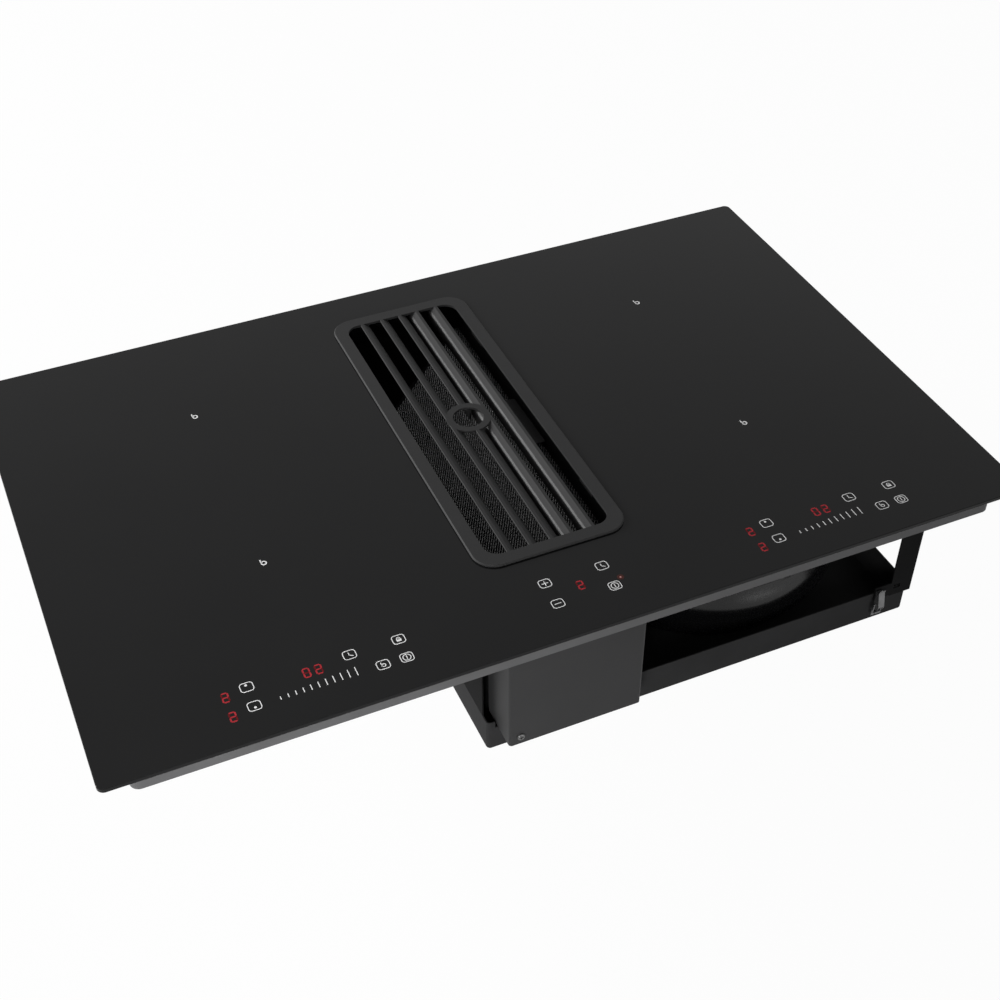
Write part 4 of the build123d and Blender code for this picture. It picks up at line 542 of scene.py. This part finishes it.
def key_dot_low(mesh, x, y):
    round_dot(mesh, x + 0.2, y - 1.7, KEY_DOT)


def key_clock(mesh, x, y):
    bar(mesh, (x - 0.3, y + 2.5), (x - 0.3, y - 0.5), SYMBOL_LINE)
    bar(mesh, (x - 0.55, y - 0.3), (x + 2.6, y - 1.9), SYMBOL_LINE)


def key_boost(mesh, x, y):
    bar(mesh, (x - 1.3, y + 2.8), (x - 1.3, y - 1.4), SYMBOL_LINE)
    hoop(mesh, x + 0.3, y - 0.6, 1.45, SYMBOL_LINE)


def key_lock(mesh, x, y):
    """Padlock: a filled body with a shackle above it."""
    prism(mesh, rounded(x, y - 0.7, 4.0, 3.0, 0.3, 2))
    outer = rounded(x, y + 1.0, 3.0, 2.8, 1.2, 4)
    inner = rounded(x, y + 1.0, 1.8, 1.6, 0.6, 4)
    prism(mesh, outer, inner)


def key_power(mesh, x, y):
    hoop(mesh, x, y, 3.1, SYMBOL_LINE)
    bar(mesh, (x, y + 1.9), (x, y - 1.9), SYMBOL_LINE)


def key_plus(mesh, x, y):
    bar(mesh, (x - KEY_ARM, y), (x + KEY_ARM, y), SYMBOL_LINE)
    bar(mesh, (x, y - 2.7), (x, y - SYMBOL_LINE / 2), SYMBOL_LINE)
    bar(mesh, (x, y + SYMBOL_LINE / 2), (x, y + 2.7), SYMBOL_LINE)


def key_minus(mesh, x, y):
    bar(mesh, (x - KEY_ARM, y), (x + KEY_ARM, y), SYMBOL_LINE)


DIGIT_HALF_WIDTH = 2.35
DIGIT_HALF_HEIGHT = 4.5
DIGIT_LINE = 1.3
DIGIT_GAP = 0.08
# Both ends of each segment, in halves of the digit's width and height.
SEGMENTS = {
    "top": ((-1, 1), (1, 1)),
    "middle": ((-1, 0), (1, 0)),
    "bottom": ((-1, -1), (1, -1)),
    "upper_left": ((-1, 1), (-1, 0)),
    "upper_right": ((1, 1), (1, 0)),
    "lower_left": ((-1, 0), (-1, -1)),
    "lower_right": ((1, 0), (1, -1)),
}
DIGITS = {
    0: ("top", "bottom", "upper_left", "upper_right", "lower_left", "lower_right"),
    2: ("top", "upper_right", "middle", "lower_left", "bottom"),
}


def digit(mesh, lit, x, y):
    """Segments of a seven-segment digit: bars with pointed ends and small gaps."""
    for name in lit:
        start, end = (
            Vector((x + across * DIGIT_HALF_WIDTH, y + up * DIGIT_HALF_HEIGHT))
            for across, up in SEGMENTS[name]
        )
        along = (end - start).normalized()
        side = Vector((-along.y, along.x)) * DIGIT_LINE / 2
        start = start + along * DIGIT_GAP
        end = end - along * DIGIT_GAP
        tip = along * DIGIT_LINE / 2
        lower = [start, start + tip - side, end - tip - side]
        upper = [end, end - tip + side, start + tip + side]
        prism(mesh, [tuple(p) for p in lower + upper])


def add_digits(name, places):
    """Lit segments in one piece, and the dim unlit ones in another."""
    for ending, material, lit in (("", LED, True), ("_unlit", LED_OFF, False)):
        piece, mesh = flat_piece(name + ending, material, "hob")
        for number, x, y in places:
            digit(mesh, [s for s in SEGMENTS if (s in DIGITS[number]) == lit], x, y)
        finish_piece(piece, mesh)


# Keys: what is drawn inside, and the place from the panel's middle line.
SIDE_KEYS = (
    (key_dot_high, -51.5, -203.4),
    (key_dot_low, -51.5, -223.4),
    (key_clock, 29.7, -203.4),
    (key_boost, 49.7, -223.4),
    (key_lock, 69.7, -203.4),
    (key_power, 68.9, -223.4),
)
MIDDLE_KEYS = (
    (key_plus, -26.1, -193.6),
    (key_minus, -26.1, -218.1),
    (key_clock, 24.7, -193.6),
    (key_power, 24.1, -218.3),
)
# Digits: the number that shows, and the place from the panel's middle line.
SIDE_DIGITS = ((2, -69.0, -207.3), (2, -69.0, -227.4), (0, -6.0, -207.9), (2, 3.5, -207.9))
MIDDLE_DIGITS = ((2, -0.7, -206.8),)
LAMP_PLACE = (32.6, -211.4)
# The power scale: strokes that grow from left to right.
TICKS = 11
TICK_START = -31.4
TICK_PITCH = 6.02
TICK_FOOT_Y = -225.6
TICK_FIRST = 3.2
TICK_GROWTH = 0.55
ZONE_X = 224.6
ZONE_YS = (-79.1, 129.2)

for side, middle_x in (("left", -ZONE_X), ("right", ZONE_X)):
    marks, mesh = flat_piece(f"key_marks_{side}", PRINT, "hob")
    for draw, x, y in SIDE_KEYS:
        key(mesh, middle_x + x, y)
        draw(mesh, middle_x + x, y)
    for step in range(TICKS):
        x = middle_x + TICK_START + TICK_PITCH * step
        tick_top = TICK_FOOT_Y + TICK_FIRST + TICK_GROWTH * step
        bar(mesh, (x, TICK_FOOT_Y), (x, tick_top), SYMBOL_LINE)
    finish_piece(marks, mesh)
    add_digits(f"digits_{side}", [(number, middle_x + x, y) for number, x, y in SIDE_DIGITS])

marks, mesh = flat_piece("key_marks_middle", PRINT, "hob")
for draw, x, y in MIDDLE_KEYS:
    key(mesh, x, y)
    draw(mesh, x, y)
finish_piece(marks, mesh)
add_digits("digit_middle", MIDDLE_DIGITS)
# A pale lamp beside the middle power key, with a painted red glow round it: a ring of dim colour
# that gives no light.
lamp_dot, mesh = flat_piece("lamp_dot", LED_CORE, "hob")
round_dot(mesh, *LAMP_PLACE, 0.85)
finish_piece(lamp_dot, mesh)
lamp_glow_paint, mesh = flat_piece("lamp_glow_paint", PAINTED_GLOW, "hob")
hoop(mesh, *LAMP_PLACE, 1.9, 2.0)
finish_piece(lamp_glow_paint, mesh)

# A small looped mark at the middle of each cooking zone.
marks, mesh = flat_piece("zone_marks", PRINT, "hob")
for x in (-ZONE_X, ZONE_X):
    for y in ZONE_YS:
        bar(mesh, (x - 2.0, y + 3.9), (x - 2.0, y - 0.6), 1.0)
        hoop(mesh, x + 0.1, y - 0.9, 2.0, 1.1)
finish_piece(marks, mesh)


# ---------------------------------------------------------------- woven layer on the grease filter

# The filter's slope, upper edge and size are those of its CAD pieces.
SLOPE = math.radians(49.96)
DOWN = Vector((-math.cos(SLOPE), 0.0, -math.sin(SLOPE)))
OUT = Vector((-math.sin(SLOPE), 0.0, math.cos(SLOPE)))
FILTER_TOP = Vector((57.5, 0.0, 168.1)) * MM
FILTER_LENGTH = 162.0 * MM
FILTER_THICKNESS = 5.0 * MM
RIM = 5.0 * MM
SKIN_DEPTH = 0.8 * MM
WEAVE_PITCH = 4.5 * MM
WIRE = 0.95 * MM


def weave(name, depth, start=RIM, end=FILTER_LENGTH - RIM):
    """Lattice of crossing wires, at a depth below the filter's face and a run down its slope."""
    piece = bpy.data.objects.new(name, bpy.data.meshes.new(name))
    bpy.context.scene.collection.objects.link(piece)
    piece.data.materials.append(MESH_WIRE)
    frame_low, frame_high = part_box("filter_frame")
    y0 = frame_low.y + RIM
    y1 = frame_high.y - RIM
    rows = round((end - start) / WEAVE_PITCH)
    columns = round((y1 - y0) / WEAVE_PITCH)
    lattice = bmesh.new()

    def point(u, v):
        return FILTER_TOP + DOWN * u - OUT * depth + Vector((0, v, 0))

    corners = {}

    def corner(i, j):
        if (i, j) not in corners:
            u = start + (end - start) * i / (2 * rows)
            v = y0 + (y1 - y0) * j / (2 * columns)
            corners[i, j] = lattice.verts.new(point(u, v))
        return corners[i, j]

    for i in range(0, 2 * rows, 2):
        for j in range(0, 2 * columns, 2):
            diamond = [(i, j + 1), (i + 1, j), (i + 2, j + 1), (i + 1, j + 2)]
            lattice.faces.new([corner(a, b) for a, b in diamond])
    lattice.to_mesh(piece.data)
    lattice.free()
    wires = piece.modifiers.new("wires", "WIREFRAME")
    wires.thickness = WIRE
    wires.use_even_offset = False
    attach(piece, "filter")


def mesh_pack_material():
    """Packed layers of woven wire below the outer lattice, with painted shade in the hollows of its
    relief.
    """
    material, tree, shader, coordinates = new_material("mesh_pack")
    rotate = tree.nodes.new("ShaderNodeMapping")
    rotate.vector_type = "TEXTURE"
    rotate.inputs["Rotation"].default_value = (0.0, -SLOPE, 0.0)
    tree.links.new(coordinates, rotate.inputs["Vector"])
    cells = tree.nodes.new("ShaderNodeTexVoronoi")
    cells.inputs["Scale"].default_value = 520.0
    cells.inputs["Randomness"].default_value = 0.35
    tree.links.new(rotate.outputs["Vector"], cells.inputs["Vector"])
    height = cells.outputs["Distance"]
    # The colour follows the relief: darker in the hollows between the wires, as painted shade.
    factor = remap(tree, height, 0, 1, 0.1, 0.7)
    tint = mixed(tree, factor, (0.002, 0.002, 0.002), (0.025, 0.025, 0.025))
    tree.links.new(tint, shader.inputs["Base Color"])
    shader.inputs["Metallic"].default_value = 0.5
    shader.inputs["Roughness"].default_value = 0.5
    add_bump(tree, shader, height, 0.8, 0.0006)
    return material


weave("filter_weave_face", SKIN_DEPTH - WIRE / 2)
weave("filter_weave_back", FILTER_THICKNESS - SKIN_DEPTH + WIRE / 2)
# The face layer laps over the top rim and stands a little past it.
weave("filter_weave_lap", -WIRE / 2, RIM - 2 * WEAVE_PITCH, RIM)
dress(mesh_pack_material(), "filter_mesh")


# ---------------------------------------------------------------- floor, world and lamps

FLOOR_HALF = 6.0
# The floor lies lower than the tray when that is let down.
FLOOR_DROP = 0.055
FLOOR_WHITE = 0.97
WORLD_LIGHT = 0.2


def seen_share(tree):
    """1 for what the camera, gloss and clear materials see, 0 for what only lights."""
    path = tree.nodes.new("ShaderNodeLightPath")
    total = path.outputs["Is Camera Ray"]
    for name in ("Is Glossy Ray", "Is Transmission Ray"):
        total = calculate(tree, "MAXIMUM", total, path.outputs[name])
    return total


def stage_material():
    """Pale floor that reads as white to the camera and in gloss, and keeps a soft shadow."""
    material, tree, shader, coordinates = new_material("pale_floor")
    cloud = noise(tree, coordinates, (2, 2, 2))
    tint = mixed(tree, remap(tree, cloud, 0, 1), (0.44, 0.44, 0.44), (0.47, 0.47, 0.47))
    tree.links.new(tint, shader.inputs["Base Color"])
    shader.inputs["Roughness"].default_value = 0.9
    shader.inputs["Specular IOR Level"].default_value = 0.0
    glow = tree.nodes.new("ShaderNodeEmission")
    glow.inputs["Color"].default_value = (1, 1, 1, 1)
    glow.inputs["Strength"].default_value = 1.0
    share = calculate(tree, "MULTIPLY", seen_share(tree), FLOOR_WHITE)
    blend = tree.nodes.new("ShaderNodeMixShader")
    tree.links.new(share, blend.inputs["Fac"])
    tree.links.new(shader.outputs["BSDF"], blend.inputs[1])
    tree.links.new(glow.outputs["Emission"], blend.inputs[2])
    output = tree.nodes["Material Output"]
    tree.links.new(blend.outputs["Shader"], output.inputs["Surface"])
    return material


def add_floor():
    mesh = bmesh.new()
    corners = [(-1, -1), (1, -1), (1, 1), (-1, 1)]
    places = [(x * FLOOR_HALF, y * FLOOR_HALF, -FLOOR_DROP) for x, y in corners]
    mesh.faces.new([mesh.verts.new(place) for place in places])
    floor = bpy.data.objects.new("floor", bpy.data.meshes.new("floor"))
    mesh.to_mesh(floor.data)
    mesh.free()
    floor.data.materials.append(stage_material())
    bpy.context.scene.collection.objects.link(floor)


def add_world(light, seen):
    """Even sky: one strength for what it lights, another for what the camera and gloss see."""
    world = bpy.data.worlds.new("world")
    bpy.context.scene.world = world
    world.use_nodes = True
    tree = world.node_tree
    tree.nodes.clear()
    mix = tree.nodes.new("ShaderNodeMixShader")
    output = tree.nodes.new("ShaderNodeOutputWorld")
    for index, strength in ((1, light), (2, seen)):
        background = tree.nodes.new("ShaderNodeBackground")
        background.inputs["Color"].default_value = (1, 1, 1, 1)
        background.inputs["Strength"].default_value = strength
        tree.links.new(background.outputs["Background"], mix.inputs[index])
    tree.links.new(seen_share(tree), mix.inputs["Fac"])
    tree.links.new(mix.outputs["Shader"], output.inputs["Surface"])


def add_lamp(name, place, target, size, power, spread=180.0):
    """Soft lamp at a place that faces a target, with its power in watts."""
    data = bpy.data.lights.new(name, "AREA")
    data.shape = "RECTANGLE"
    data.size, data.size_y = size
    data.energy = power
    data.spread = math.radians(spread)
    lamp = bpy.data.objects.new(name, data)
    lamp.location = place
    direction = Vector(target) - Vector(place)
    lamp.rotation_euler = direction.to_track_quat("-Z", "Y").to_euler()
    lamp.visible_camera = False
    bpy.context.scene.collection.objects.link(lamp)


add_floor()
add_world(WORLD_LIGHT, 1.0)
# A large lamp from the back left, a small one on the cover and tray, and a low one on the fan.
add_lamp("key", (-1.9, 1.45, 0.95), (0.0, 0.0, 0.15), (1.8, 1.4), 125.0)
add_lamp("fill", (-0.75, -1.05, 0.45), (-0.3, -0.25, 0.12), (0.5, 0.4), 1.4, spread=46.0)
add_lamp("strip", (0.78, -1.55, 0.16), (0.22, -0.16, 0.06), (0.7, 0.25), 0.85, spread=60.0)
